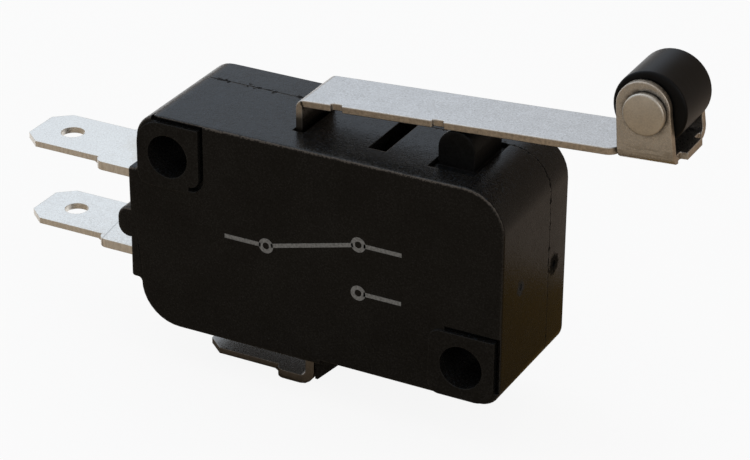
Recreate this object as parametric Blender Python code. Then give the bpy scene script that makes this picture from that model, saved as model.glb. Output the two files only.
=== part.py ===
"""Snap-action limit switch with a hinged roller lever.

Units are metres, +Z is up. The origin is the middle of the flat rear mounting face. +X runs along the case
towards the roller, and the front of the case looks along -Y.
"""

import math

import bmesh
import bpy
from mathutils import Matrix, Vector

MM = 0.001

# Case: two mounting holes on opposite corners, front shell, rear cover
HOLE_PITCH_X = 22.2 * MM
HOLE_PITCH_Z = 10.3 * MM
HOLE_DIAMETER = 3.1 * MM
HOLE_MARGIN = 2.8 * MM
LEFT_MARGIN = 2.55 * MM
FACE_DEPTH = 10.15 * MM
PAD_HEIGHT = 0.15 * MM
COVER_DEPTH = 2.95 * MM
SIDE_WALL = 1.35 * MM
FACE_WALL = 1.4 * MM
BOSS_WALL = 1.05 * MM
SPIGOT_WALL = 0.55 * MM
SPIGOT_LENGTH = 0.7 * MM
BOTTOM_RELIEF = 0.3 * MM
TOP_RIGHT_ROUND = 2.9 * MM
BOTTOM_RIGHT_ROUND = 1.5 * MM
BOTTOM_LEFT_ROUND = 3.0 * MM
TOP_LEFT_ROUND = 1.9 * MM
STEP_ROUND = 0.25 * MM
RIM_ROUND = 0.2 * MM
BLOCK_OUT = 0.75 * MM
BLOCK_ABOVE = 1.3 * MM
BLOCK_BELOW = 0.45 * MM
RIB_OUT = 1.0 * MM
RIB_HEIGHT = 2.3 * MM
SEAT_GAP = 0.05 * MM

# Raised pads round the holes, each with a groove along its top and right sides
PAD_REACH = 2.4 * MM
PAD_INSET = 0.12 * MM
GROOVE_WIDTH = 0.32 * MM
GROOVE_DEPTH = 0.5 * MM
GROOVE_START = 1.3 * MM
GROOVE_END = 1.4 * MM
GROOVE_HOOK = 0.8 * MM

# Marks that the mould leaves on the right-hand end
DIMPLE_DIAMETER = 0.5 * MM
DIMPLE_DEPTH = 0.15 * MM
HOUSING_DIMPLE_Y = -7.3 * MM
HOUSING_DIMPLE_Z = 0.15 * MM
COVER_DIMPLE_Y = -2.0 * MM
COVER_DIMPLE_Z = -0.55 * MM

# Lever: a strip hooked into the case, with a U bracket for the roller
LEVER_REST_ANGLE = math.radians(3.85)
LEVER_TRAVEL = math.radians(9.0)
HINGE_X = -2.55 * MM
LEVER_RISE = 3.45 * MM
STRIP_WIDTH = 4.6 * MM
STRIP_THICKNESS = 0.5 * MM
HOOK_FOLD = 0.15 * MM
HOOK_FOOT = 1.0 * MM
HOOK_PLAY = 0.1 * MM
TIP_ROUND = 0.5 * MM
NOTCH_LENGTH = 0.8 * MM
NOTCH_DEPTH = 0.28 * MM
NOTCH_ROUND = 0.13 * MM
NOTCH_PLACES = (2.6 * MM, 10.05 * MM)
ROLLER_ARM = 25.16 * MM
ROLLER_RISE = 3.0 * MM
EAR_FOLD = 0.3 * MM
EAR_HALF_WIDTH = 1.8 * MM
EAR_SHIFT = 0.2 * MM
EAR_FLARE = 0.2 * MM
EAR_TOP = 2.0 * MM
NECK_RELIEF = 0.2 * MM
NECK_ROUND = 0.8 * MM
END_TAB_WIDTH = 2.4 * MM
END_TAB_OUT = 0.35 * MM
END_TAB_NOTCH = 0.15 * MM
END_TAB_ROUND = 0.1 * MM
EDGE_BREAK = 0.04 * MM

# Slots in the top of the case for the hook, with a spare one further along
SLOT_LENGTH = 5.4 * MM
SLOT_PITCH = 6.1 * MM
SPARE_SLOT_WIDTH = 1.3 * MM
SLOT_BACK = 0.04 * MM
SLOT_SWING = 0.35 * MM

# Roller and its rivet
ROLLER_DIAMETER = 4.95 * MM
ROLLER_LENGTH = 4.3 * MM
ROLLER_SIDE_GAP = 0.1 * MM
ROLLER_ROUND = 0.2 * MM
PIN_DIAMETER = 1.6 * MM
PIN_RUN_GAP = 0.06 * MM
PIN_HEAD_DIAMETER = 2.8 * MM
PIN_HEAD_HEIGHT = 0.42 * MM
PIN_TAIL_DIAMETER = 2.3 * MM
PIN_TAIL_HEIGHT = 0.3 * MM
PIN_ROUND = 0.12 * MM

# Plunger: a round-topped ridge on a guided foot, held in by a flange
PLUNGER_X = 9.05 * MM
RIDGE_RADIUS = 1.35 * MM
RIDGE_SETBACK = 0.9 * MM
RIDGE_GAP = 0.03 * MM
RIDGE_ROUND = 0.12 * MM
OPENING_OFFSET = 0.1 * MM
OPENING_WIDTH = 3.35 * MM
OPENING_LIP = 0.4 * MM
GUIDE_GAP = 0.12 * MM
GUIDE_DROP = 0.25 * MM
FLANGE_OUT = 0.5 * MM
FLANGE_HEIGHT = 0.8 * MM
NOSE_RADIUS = 0.8 * MM
NOSE_DROP = 0.9 * MM
NOSE_LENGTH = 3.0 * MM

# Terminals: stamped sheet, with the push-on tabs pressed thinner
TAB_WIDTH = 4.9 * MM
TAB_LENGTH = 6.45 * MM
TAB_THICKNESS = 0.45 * MM
TAB_HOLE_DIAMETER = 1.7 * MM
TAB_HOLE_INSET = 2.75 * MM
TAB_CHAMFER_X = 1.2 * MM
TAB_CHAMFER_Y = 1.0 * MM
TAB_RAMP = 0.3 * MM
STOCK_THICKNESS = 0.65 * MM
SHOULDER_WIDTH = 6.2 * MM
SHOULDER_ROUND = 0.7 * MM
SIDE_TAB_START_X = -18.5 * MM
NC_TAB_TOP = 2.36 * MM
NO_TAB_TOP = -3.7 * MM
INNER_WIDTH = 4.4 * MM
INNER_END_X = -6.9 * MM
CONTACT_X = -8.6 * MM
COMMON_TAB_START_X = -4.2 * MM
COMMON_TAB_LENGTH = 6.0 * MM
COMMON_TAB_TOP = -10.4 * MM
COMMON_LEG_X = -1.4 * MM
COMMON_FOLD = 0.45 * MM
COMMON_TOP = 1.7 * MM
FORK_GAP = 2.3 * MM
FORK_ROOT = -1.5 * MM
GUSSET_FOOT = 0.05 * MM
GUSSET_TIP = 0.2 * MM
GUSSET_REACH = 3.1 * MM
GUSSET_WIDTH = 6.0 * MM
SLOT_FIT = 0.06 * MM

# Contacts, moving blade, inner arm and snap spring
CONTACT_DIAMETER = 2.4 * MM
CONTACT_HEIGHT = 0.5 * MM
SHANK_DIAMETER = 1.3 * MM
SHANK_GAP = 0.03 * MM
SHANK_HEAD_DIAMETER = 1.8 * MM
SHANK_HEAD_HEIGHT = 0.25 * MM
CONTACT_GAP = 0.8 * MM
TOUCH_GAP = 0.03 * MM
BLADE_THICKNESS = 0.3 * MM
BLADE_WIDTH = 4.2 * MM
BLADE_END = 1.5 * MM
ARM_THICKNESS = 0.4 * MM
ARM_WIDTH = 4.2 * MM
ARM_PIVOT_Z = 1.15 * MM
ARM_BEND_X = 5.3 * MM
ARM_CLIMB = math.radians(48.0)
ARM_END = 1.2 * MM
ARM_FOLD = 0.4 * MM
PIVOT_GAP = 0.08 * MM
JOGGLE_FOLD = 0.3 * MM
JOGGLE_X = -11.0 * MM
SPRING_WIRE = 0.26 * MM
SPRING_DIAMETER = 1.5 * MM
SPRING_PITCH = 0.72 * MM
SPRING_COILS = 9
SPRING_HOLE_DIAMETER = 0.6 * MM
BLADE_HOOK_X = -6.4 * MM
ARM_HOOK_X = 4.35 * MM
WIRE_HOOK = 0.3 * MM

# How finely round shapes are divided
ARC_STEP = math.radians(10.0)
ARC_CHORD = 0.06 * MM
STEP_DIGITS = 3
FOLD_STEPS = 4
FINE_TURN = 48
TURN = 32
COARSE_TURN = 24
POINTS_PER_COIL = 10
CUT_OVERRUN = 1.0 * MM
MERGE = 1e-7

# Places that follow from the sizes above
REAR_Y = 0.0
FRONT_Y = REAR_Y - FACE_DEPTH
PAD_Y = FRONT_Y - PAD_HEIGHT
MIDDLE_Y = (REAR_Y + FRONT_Y) / 2
SEAM_Y = REAR_Y - COVER_DEPTH
HOLE_X = HOLE_PITCH_X / 2
HOLE_Z = HOLE_PITCH_Z / 2
HOLES = ((-HOLE_X, HOLE_Z), (HOLE_X, -HOLE_Z))
TOP_Z = HOLE_Z + HOLE_MARGIN
BOTTOM_Z = -HOLE_Z - HOLE_MARGIN
RIGHT_X = HOLE_X + HOLE_MARGIN
LEFT_X = -HOLE_X - LEFT_MARGIN
BLOCK_X = LEFT_X - BLOCK_OUT
CEILING_Z = TOP_Z - SIDE_WALL
BOSS_RADIUS = HOLE_DIAMETER / 2 + BOSS_WALL
COMMON_LEG_RIGHT = COMMON_LEG_X + STOCK_THICKNESS / 2
COMMON_LEG_LEFT = COMMON_LEG_X - STOCK_THICKNESS / 2
BOTTOM_STEP_X = COMMON_LEG_RIGHT + GUSSET_REACH / 2
OPENING_X = PLUNGER_X + OPENING_OFFSET
FACE_INSIDE_Y = FRONT_Y + FACE_WALL
OPENING_FRONT_Y = FACE_INSIDE_Y + OPENING_LIP
HOOK_LEFT = HINGE_X - STRIP_THICKNESS / 2 - SLOT_BACK
HOOK_RIGHT = HINGE_X + STRIP_THICKNESS / 2 + SLOT_SWING
EAR_OUTSIDE = ROLLER_LENGTH / 2 + ROLLER_SIDE_GAP + STRIP_THICKNESS
NC_CONTACT_FACE = NC_TAB_TOP - STOCK_THICKNESS - CONTACT_HEIGHT
BLADE_TOP = NC_CONTACT_FACE - TOUCH_GAP - CONTACT_HEIGHT
BLADE_BOTTOM = BLADE_TOP - BLADE_THICKNESS
BLADE_Z = (BLADE_TOP + BLADE_BOTTOM) / 2
NO_CONTACT_FACE = BLADE_BOTTOM - CONTACT_HEIGHT - CONTACT_GAP
NO_INNER_TOP = NO_CONTACT_FACE - CONTACT_HEIGHT
NOSE_Z = CEILING_Z - SEAT_GAP - FLANGE_HEIGHT - NOSE_DROP


# Outlines


def rounded(corners):
    """A closed outline through (u, v, radius) corners, each one rounded by an arc."""
    points = []
    for index, (u, v, radius) in enumerate(corners):
        corner = Vector((u, v))
        if radius <= 0:
            points.append(corner)
            continue
        last = (Vector(corners[index - 1][:2]) - corner).normalized()
        following = (Vector(corners[(index + 1) % len(corners)][:2]) - corner).normalized()
        half = last.angle(following) / 2
        centre = corner + (last + following).normalized() * (radius / math.sin(half))
        first_arm = corner + last * (radius / math.tan(half)) - centre
        last_arm = corner + following * (radius / math.tan(half)) - centre
        start = math.atan2(first_arm.y, first_arm.x)
        turn = math.atan2(last_arm.y, last_arm.x) - start
        turn = (turn + math.pi) % (2 * math.pi) - math.pi
        wanted = min(abs(turn) / ARC_STEP, radius * abs(turn) / ARC_CHORD)
        steps = math.ceil(round(wanted, STEP_DIGITS))
        for step in range(steps + 1):
            angle = start + turn * step / steps
            points.append(centre + radius * Vector((math.cos(angle), math.sin(angle))))
    return without_repeats(points)


def without_repeats(points):
    """The points of a closed outline, leaving out each one that lies on the point before it."""
    return [point for index, point in enumerate(points) if (point - points[index - 1]).length > MERGE]


def rectangle(left, low, right, high, radius=0.0):
    return rounded([(left, low, radius), (right, low, radius), (right, high, radius), (left, high, radius)])


def circle(centre_u, centre_v, radius, steps=TURN):
    angles = [2 * math.pi * step / steps for step in range(steps)]
    return [Vector((centre_u + radius * math.cos(a), centre_v + radius * math.sin(a))) for a in angles]


# Shapes


def spot(plane, u, v, along):
    """The point (u, v) of a plane at a distance along its normal."""
    if plane == "XZ":
        return Vector((u, along, v))
    if plane == "YZ":
        return Vector((along, u, v))
    return Vector((u, v, along))


def prism(plane, outline, low, high):
    """A closed shape: the outline pushed from low to high, square to its plane."""
    shape = bmesh.new()
    base = shape.faces.new([shape.verts.new(spot(plane, u, v, low)) for u, v in outline])
    pushed = bmesh.ops.extrude_face_region(shape, geom=[base])
    moved = [item for item in pushed["geom"] if isinstance(item, bmesh.types.BMVert)]
    bmesh.ops.translate(shape, verts=moved, vec=spot(plane, 0, 0, high - low))
    bmesh.ops.recalc_face_normals(shape, faces=shape.faces)
    return shape


def turned(profile, steps):
    """A closed shape: (radius, y) points turned round the Y axis."""
    shape = bmesh.new()
    points = [shape.verts.new((radius, y, 0)) for radius, y in profile]
    swept = [index for index in range(len(points)) if off_axis(profile, index)]
    edges = [shape.edges.new((points[index - 1], points[index])) for index in swept]
    bmesh.ops.spin(
        shape,
        geom=points + edges,
        cent=(0, 0, 0),
        axis=(0, 1, 0),
        angle=2 * math.pi,
        steps=steps,
        use_merge=True,
    )
    bmesh.ops.remove_doubles(shape, verts=shape.verts, dist=MERGE)
    bmesh.ops.recalc_face_normals(shape, faces=shape.faces)
    return shape


def off_axis(profile, index):
    """Whether the profile's line that ends at this point leaves the axis, so that it sweeps a face."""
    return profile[index - 1][0] > 0 or profile[index][0] > 0


def round_rim(shape, axis, at, width, segments):
    """Rounds the edges that lie flat in the plane axis = at."""
    rim = [edge for edge in shape.edges if all(abs(v.co[axis] - at) < MERGE for v in edge.verts)]
    bmesh.ops.bevel(shape, geom=rim, offset=width, segments=segments, profile=0.5, affect="EDGES")


def slice_sheet(shape, axis, at):
    """Adds a line of points across the sheet where axis = at, so that it can bend there."""
    normal = Vector((0, 0, 0))
    normal[axis] = 1
    everything = shape.verts[:] + shape.edges[:] + shape.faces[:]
    bmesh.ops.bisect_plane(shape, geom=everything, dist=MERGE, plane_co=normal * at, plane_no=normal)


def fold(shape, axis, line, side, thickness, radius, angle, up, start_x=-math.inf):
    """Bends the sheet beyond a line through an angle, round an inner radius, upwards or downwards.

    The sheet lies between z = 0 and its thickness. Only points past start_x are bent."""
    middle = radius + thickness / 2
    length = middle * angle
    for step in range(FOLD_STEPS + 1):
        slice_sheet(shape, axis, line + side * length * step / FOLD_STEPS)
    for point in shape.verts:
        past = side * (point.co[axis] - line)
        if past <= MERGE or point.co.x < start_x:
            continue
        turn = min(past / middle, angle)
        straight = max(past - length, 0)
        reach = thickness + radius - point.co.z if up else radius + point.co.z
        rise = straight * math.sin(turn) - reach * math.cos(turn)
        point.co[axis] = line + side * (reach * math.sin(turn) + straight * math.cos(turn))
        point.co.z = thickness + radius + rise if up else -radius - rise


def fold_setback(thickness, radius, angle):
    """How far a fold starts before the corner where the two middle planes of the sheet would meet."""
    return (radius + thickness / 2) * math.tan(angle / 2)


def fold_length(thickness, radius, angle):
    return (radius + thickness / 2) * angle


# Objects


def finish(name, colour, roughness, metallic):
    material = bpy.data.materials.new(name)
    material.use_nodes = True
    shader = material.node_tree.nodes["Principled BSDF"]
    shader.inputs["Base Color"].default_value = (*colour, 1)
    shader.inputs["Roughness"].default_value = roughness
    shader.inputs["Metallic"].default_value = metallic
    material.diffuse_color = (*colour, 1)
    return material


def thing(name, shape):
    mesh = bpy.data.meshes.new(name)
    shape.to_mesh(mesh)
    shape.free()
    made = bpy.data.objects.new(name, mesh)
    bpy.context.scene.collection.objects.link(made)
    return made


def combine(kept, other_shape, operation):
    """Cuts a shape from an object, or joins it on, and keeps the result as the object's mesh."""
    other = thing("helper", other_shape)
    modifier = kept.modifiers.new("combine", "BOOLEAN")
    modifier.operation = operation
    modifier.solver = "EXACT"
    modifier.object = other
    graph = bpy.context.evaluated_depsgraph_get()
    result = bpy.data.meshes.new_from_object(kept.evaluated_get(graph))
    kept.modifiers.clear()
    spent = (kept.data, other.data)
    kept.data = result
    bpy.data.objects.remove(other)
    for mesh in spent:
        bpy.data.meshes.remove(mesh)


def cut(kept, shape):
    combine(kept, shape, "DIFFERENCE")


def join(kept, shape):
    combine(kept, shape, "UNION")


def dress(made, material):
    """Gives the object its own finish, smooth round faces and its name on the mesh."""
    made.data.name = made.name
    made.data.materials.clear()
    made.data.materials.append(material)
    made.data.shade_smooth()
    made.data.set_sharp_from_angle(angle=math.radians(30))
    return made


# Case


def case_outline():
    """The side view of the housing and the cover, with the terminal block and its rib on the left."""
    relief_z = BOTTOM_Z + BOTTOM_RELIEF
    block_top = NC_TAB_TOP + BLOCK_ABOVE
    block_bottom = NO_TAB_TOP - STOCK_THICKNESS - BLOCK_BELOW
    rib_middle = (NC_TAB_TOP + NO_TAB_TOP) / 2
    rib_top = rib_middle + RIB_HEIGHT / 2
    rib_bottom = rib_middle - RIB_HEIGHT / 2
    rib_x = BLOCK_X - RIB_OUT
    rib_round = min(RIB_OUT, RIB_HEIGHT / 2) * 0.9
    return rounded(
        [
            (RIGHT_X, TOP_Z, TOP_RIGHT_ROUND),
            (LEFT_X, TOP_Z, TOP_LEFT_ROUND),
            (LEFT_X, block_top, STEP_ROUND),
            (BLOCK_X, block_top, STEP_ROUND),
            (BLOCK_X, rib_top, 0),
            (rib_x, rib_top, rib_round),
            (rib_x, rib_bottom, rib_round),
            (BLOCK_X, rib_bottom, 0),
            (BLOCK_X, block_bottom, STEP_ROUND),
            (LEFT_X, block_bottom, STEP_ROUND),
            (LEFT_X, BOTTOM_Z, BOTTOM_LEFT_ROUND),
            (BOTTOM_STEP_X, BOTTOM_Z, 0),
            (BOTTOM_STEP_X, relief_z, 0),
            (RIGHT_X, relief_z, BOTTOM_RIGHT_ROUND),
        ]
    )


def cavity(low, high):
    """The hollow between the walls, with the two bosses left standing."""
    floor_z = BOTTOM_Z + BOTTOM_RELIEF + SIDE_WALL
    outline = rectangle(LEFT_X + SIDE_WALL, floor_z, RIGHT_X - SIDE_WALL, CEILING_Z, SIDE_WALL / 2)
    hollow = thing("hollow", prism("XZ", outline, low, high))
    for x, z in HOLES:
        cut(hollow, prism("XZ", circle(x, z, BOSS_RADIUS), low - CUT_OVERRUN, high + CUT_OVERRUN))
    shape = bmesh.new()
    shape.from_mesh(hollow.data)
    bpy.data.objects.remove(hollow)
    return shape


def pad_outline(x, z):
    """A mounting pad, which ends at its groove or just inside the edge of the case."""
    left = max(x - PAD_REACH, LEFT_X + PAD_INSET)
    low = max(z - PAD_REACH, BOTTOM_Z + BOTTOM_RELIEF + PAD_INSET)
    left_round = TOP_LEFT_ROUND - PAD_INSET if x < 0 else GROOVE_HOOK
    low_round = BOTTOM_RIGHT_ROUND - PAD_INSET if x > 0 else GROOVE_HOOK
    right = x + PAD_REACH
    high = z + PAD_REACH
    return rounded(
        [(left, low, GROOVE_HOOK), (right, low, low_round), (right, high, 0), (left, high, left_round)]
    )


def groove_outline(x, z):
    """The groove above a pad and down its right side, ending in a short hook to the left on the left pad."""
    inner = PAD_REACH
    outer = PAD_REACH + GROOVE_WIDTH
    hook_x = x + inner - GROOVE_HOOK
    hook_z = z - GROOVE_END - GROOVE_HOOK
    end = [(x + inner, z - GROOVE_END, 0), (x + outer, z - GROOVE_END, 0)]
    if x < 0:
        end = [
            (x + inner, hook_z + GROOVE_WIDTH, GROOVE_HOOK - GROOVE_WIDTH / 2),
            (hook_x, hook_z + GROOVE_WIDTH, 0),
            (hook_x, hook_z, 0),
            (x + outer, hook_z, GROOVE_HOOK + GROOVE_WIDTH / 2),
        ]
    start = [(x + outer, z + outer, 0), (x - GROOVE_START, z + outer, 0), (x - GROOVE_START, z + inner, 0)]
    return rounded(start + [(x + inner, z + inner, 0)] + end)


def gusset(low, high):
    """The wedge under the case that backs the leg of the common terminal."""
    near = COMMON_LEG_RIGHT + SEAT_GAP
    foot_z = COMMON_TAB_TOP - GUSSET_FOOT
    root_z = BOTTOM_Z + SIDE_WALL / 2
    outline = rounded(
        [
            (near, root_z, 0),
            (near, foot_z, 0),
            (near + GUSSET_TIP, foot_z, 0),
            (near + GUSSET_REACH, BOTTOM_Z + BOTTOM_RELIEF, 0),
            (near + GUSSET_REACH, root_z, 0),
        ]
    )
    return prism("XZ", outline, low, high)


def cut_openings(shell):
    """The holes, slots and windows that pass through the walls of the housing and the cover alike."""
    for x, z in HOLES:
        bore = circle(x, z, HOLE_DIAMETER / 2, FINE_TURN)
        cut(shell, prism("XZ", bore, PAD_Y - CUT_OVERRUN, REAR_Y + CUT_OVERRUN))
    roof = (CEILING_Z - SIDE_WALL / 2, TOP_Z + CUT_OVERRUN)
    spare_right = HOOK_RIGHT + SLOT_PITCH
    for left, right in ((HOOK_LEFT, HOOK_RIGHT), (spare_right - SPARE_SLOT_WIDTH, spare_right)):
        low_y = MIDDLE_Y - SLOT_LENGTH / 2
        high_y = MIDDLE_Y + SLOT_LENGTH / 2
        cut(shell, prism("XY", rectangle(left, low_y, right, high_y), *roof))
    reach = SHOULDER_WIDTH / 2 + SLOT_FIT
    end_wall = (BLOCK_X - RIB_OUT - CUT_OVERRUN, LEFT_X + SIDE_WALL * 1.5)
    for top in (NC_TAB_TOP, NO_TAB_TOP):
        low_z = top - STOCK_THICKNESS - SLOT_FIT
        slot = rectangle(MIDDLE_Y - reach, low_z, MIDDLE_Y + reach, top + SLOT_FIT)
        cut(shell, prism("YZ", slot, *end_wall))
    leg_left = COMMON_LEG_LEFT - SLOT_FIT
    leg_right = COMMON_LEG_RIGHT + SEAT_GAP
    leg = rectangle(leg_left, MIDDLE_Y - reach, leg_right, MIDDLE_Y + reach)
    cut(shell, prism("XY", leg, BOTTOM_Z - CUT_OVERRUN, BOTTOM_Z + 2 * SIDE_WALL))


def cut_dimple(shell, y, z):
    disc = circle(y, z, DIMPLE_DIAMETER / 2, COARSE_TURN)
    cut(shell, prism("YZ", disc, RIGHT_X - DIMPLE_DEPTH, RIGHT_X + CUT_OVERRUN))


def make_housing():
    shape = prism("XZ", case_outline(), FRONT_Y, SEAM_Y)
    round_rim(shape, 1, FRONT_Y, RIM_ROUND, 2)
    housing = thing("housing", shape)
    join(housing, gusset(MIDDLE_Y - GUSSET_WIDTH / 2, SEAM_Y))
    cut(housing, cavity(FACE_INSIDE_Y, SEAM_Y + CUT_OVERRUN))
    for x, z in HOLES:
        join(housing, prism("XZ", pad_outline(x, z), PAD_Y, FRONT_Y + FACE_WALL / 2))
        cut(housing, prism("XZ", groove_outline(x, z), PAD_Y - CUT_OVERRUN, FRONT_Y + GROOVE_DEPTH))
        spigot = circle(x, z, HOLE_DIAMETER / 2 + SPIGOT_WALL)
        join(housing, prism("XZ", spigot, SEAM_Y - SIDE_WALL, SEAM_Y + SPIGOT_LENGTH))
    cut_openings(housing)
    half = OPENING_WIDTH / 2
    opening = rectangle(OPENING_X - half, OPENING_FRONT_Y, OPENING_X + half, SEAM_Y + CUT_OVERRUN)
    cut(housing, prism("XY", opening, CEILING_Z - SIDE_WALL / 2, TOP_Z + CUT_OVERRUN))
    cut_dimple(housing, HOUSING_DIMPLE_Y, HOUSING_DIMPLE_Z)
    return dress(housing, finish("housing_black", (0.012, 0.011, 0.010), 0.55, 0))


def make_rear_cover():
    front_y = SEAM_Y + SEAT_GAP
    shape = prism("XZ", case_outline(), front_y, REAR_Y)
    round_rim(shape, 1, REAR_Y, RIM_ROUND, 2)
    cover = thing("rear_cover", shape)
    join(cover, gusset(front_y, MIDDLE_Y + GUSSET_WIDTH / 2))
    cut(cover, cavity(SEAM_Y - CUT_OVERRUN, REAR_Y - FACE_WALL))
    for x, z in HOLES:
        socket = circle(x, z, HOLE_DIAMETER / 2 + SPIGOT_WALL + SEAT_GAP)
        cut(cover, prism("XZ", socket, SEAM_Y - CUT_OVERRUN, SEAM_Y + SPIGOT_LENGTH + SEAT_GAP))
    cut_openings(cover)
    cut_dimple(cover, COVER_DIMPLE_Y, COVER_DIMPLE_Z)
    return dress(cover, finish("cover_black", (0.014, 0.013, 0.011), 0.5, 0))


# Lever, roller and rivet


def lever_outline(hook_end, ear_fold_line):
    """The flat blank of the lever: strip, neck, the two wings that become the ears, and the end tab."""
    half = STRIP_WIDTH / 2
    ear_left = ROLLER_ARM - EAR_SHIFT - EAR_HALF_WIDTH
    ear_right = ROLLER_ARM - EAR_SHIFT + EAR_HALF_WIDTH
    neck_half = ear_fold_line - NECK_RELIEF
    neck_x = ear_left - NECK_RELIEF
    wing = ear_fold_line + fold_length(STRIP_THICKNESS, EAR_FOLD, math.pi / 2)
    axis_level = wing + ROLLER_RISE - EAR_FOLD
    wing_end = axis_level + EAR_TOP
    foot_x = ear_right + EAR_FLARE
    notch_x = foot_x - END_TAB_NOTCH
    tab_x = foot_x + END_TAB_OUT
    tab_half = END_TAB_WIDTH / 2
    front = [(hook_end, -half, TIP_ROUND)]
    for place in NOTCH_PLACES:
        depth = half - NOTCH_DEPTH
        end = place + NOTCH_LENGTH
        corners = [(place, half), (place, depth), (end, depth), (end, half)]
        front += [(x, -y, NOTCH_ROUND) for x, y in corners]
    side = [
        (neck_x, half, NECK_ROUND),
        (neck_x, neck_half, 0),
        (ear_left, neck_half, 0),
        (ear_left, wing_end, EAR_HALF_WIDTH * 0.98),
        (ear_right, wing_end, EAR_HALF_WIDTH * 0.98),
        (ear_right, axis_level, 0),
        (foot_x, wing, 0),
        (foot_x, ear_fold_line, 0),
        (notch_x, ear_fold_line, END_TAB_ROUND),
        (notch_x, tab_half, END_TAB_ROUND),
        (tab_x, tab_half, 0),
    ]
    front += [(x, -y, radius) for x, y, radius in side]
    back = [(x, y, radius) for x, y, radius in reversed(side)]
    return rounded(front + back + [(hook_end, half, TIP_ROUND)])


def make_lever(pivot):
    """The lever is cut as one flat blank, and its ears, hook foot and hook are folded from it."""
    hook_angle = math.pi / 2 - LEVER_REST_ANGLE
    foot_angle = math.pi / 2
    corner_z = LEVER_RISE - STRIP_THICKNESS / 2
    corner_x = corner_z * math.tan(LEVER_REST_ANGLE)
    hook_setback = fold_setback(STRIP_THICKNESS, HOOK_FOLD, hook_angle)
    foot_setback = fold_setback(STRIP_THICKNESS, HOOK_FOLD, foot_angle)
    hook_line = corner_x + hook_setback
    drop = corner_z / math.cos(LEVER_REST_ANGLE) + HOOK_PLAY + STRIP_THICKNESS / 2
    hook_length = fold_length(STRIP_THICKNESS, HOOK_FOLD, hook_angle)
    foot_line = hook_line - hook_length - (drop - hook_setback - foot_setback)
    hook_end = foot_line - fold_length(STRIP_THICKNESS, HOOK_FOLD, foot_angle) - (HOOK_FOOT - foot_setback)
    ear_fold_line = EAR_OUTSIDE - STRIP_THICKNESS - EAR_FOLD
    shape = prism("XY", lever_outline(hook_end, ear_fold_line), 0, STRIP_THICKNESS)
    for face_z in (0, STRIP_THICKNESS):
        round_rim(shape, 2, face_z, EDGE_BREAK, 1)
    wing_x = ROLLER_ARM - EAR_SHIFT - EAR_HALF_WIDTH - NECK_RELIEF / 2
    for side in (-1, 1):
        fold(shape, 1, side * ear_fold_line, side, STRIP_THICKNESS, EAR_FOLD, math.pi / 2, True, wing_x)
    fold(shape, 0, foot_line, -1, STRIP_THICKNESS, HOOK_FOLD, foot_angle, False)
    fold(shape, 0, hook_line, -1, STRIP_THICKNESS, HOOK_FOLD, hook_angle, False)
    bmesh.ops.translate(shape, verts=shape.verts, vec=(0, 0, LEVER_RISE - STRIP_THICKNESS))
    lever = thing("lever", shape)
    hole = circle(ROLLER_ARM, LEVER_RISE + ROLLER_RISE, PIN_DIAMETER / 2 + SEAT_GAP)
    cut(lever, prism("XZ", hole, -EAR_OUTSIDE - CUT_OVERRUN, EAR_OUTSIDE + CUT_OVERRUN))
    lever.parent = pivot
    return dress(lever, finish("lever_nickel", (0.62, 0.62, 0.60), 0.35, 1))


def make_roller(pivot):
    radius = ROLLER_DIAMETER / 2
    half = ROLLER_LENGTH / 2
    bore = PIN_DIAMETER / 2 + PIN_RUN_GAP
    profile = rounded(
        [(bore, -half, 0), (radius, -half, ROLLER_ROUND), (radius, half, ROLLER_ROUND), (bore, half, 0)]
    )
    roller = thing("roller", turned(profile, FINE_TURN))
    roller.parent = pivot
    roller.location = (ROLLER_ARM, 0, LEVER_RISE + ROLLER_RISE)
    return dress(roller, finish("roller_black", (0.013, 0.013, 0.013), 0.4, 0))


def make_roller_pin(pivot):
    shaft = PIN_DIAMETER / 2
    front = -EAR_OUTSIDE - SEAT_GAP
    rear = EAR_OUTSIDE + SEAT_GAP
    profile = rounded(
        [
            (0, front - PIN_HEAD_HEIGHT, 0),
            (PIN_HEAD_DIAMETER / 2, front - PIN_HEAD_HEIGHT, PIN_ROUND),
            (PIN_HEAD_DIAMETER / 2, front, 0),
            (shaft, front, 0),
            (shaft, rear, 0),
            (PIN_TAIL_DIAMETER / 2, rear, 0),
            (PIN_TAIL_DIAMETER / 2, rear + PIN_TAIL_HEIGHT, PIN_ROUND),
            (0, rear + PIN_TAIL_HEIGHT, 0),
        ]
    )
    pin = thing("roller_pin", turned(profile, TURN))
    pin.parent = pivot
    pin.location = (ROLLER_ARM, 0, LEVER_RISE + ROLLER_RISE)
    return dress(pin, finish("pin_nickel", (0.50, 0.47, 0.42), 0.4, 1))


# Plunger


def ridge_top():
    """The height at which the ridge meets the underside of the lever at rest."""
    reach = PLUNGER_X - HINGE_X
    underside = LEVER_RISE - STRIP_THICKNESS
    line = CEILING_Z + reach * math.tan(LEVER_REST_ANGLE) + underside / math.cos(LEVER_REST_ANGLE)
    return line - RIDGE_RADIUS / math.cos(LEVER_REST_ANGLE) + RIDGE_RADIUS - RIDGE_GAP


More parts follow.
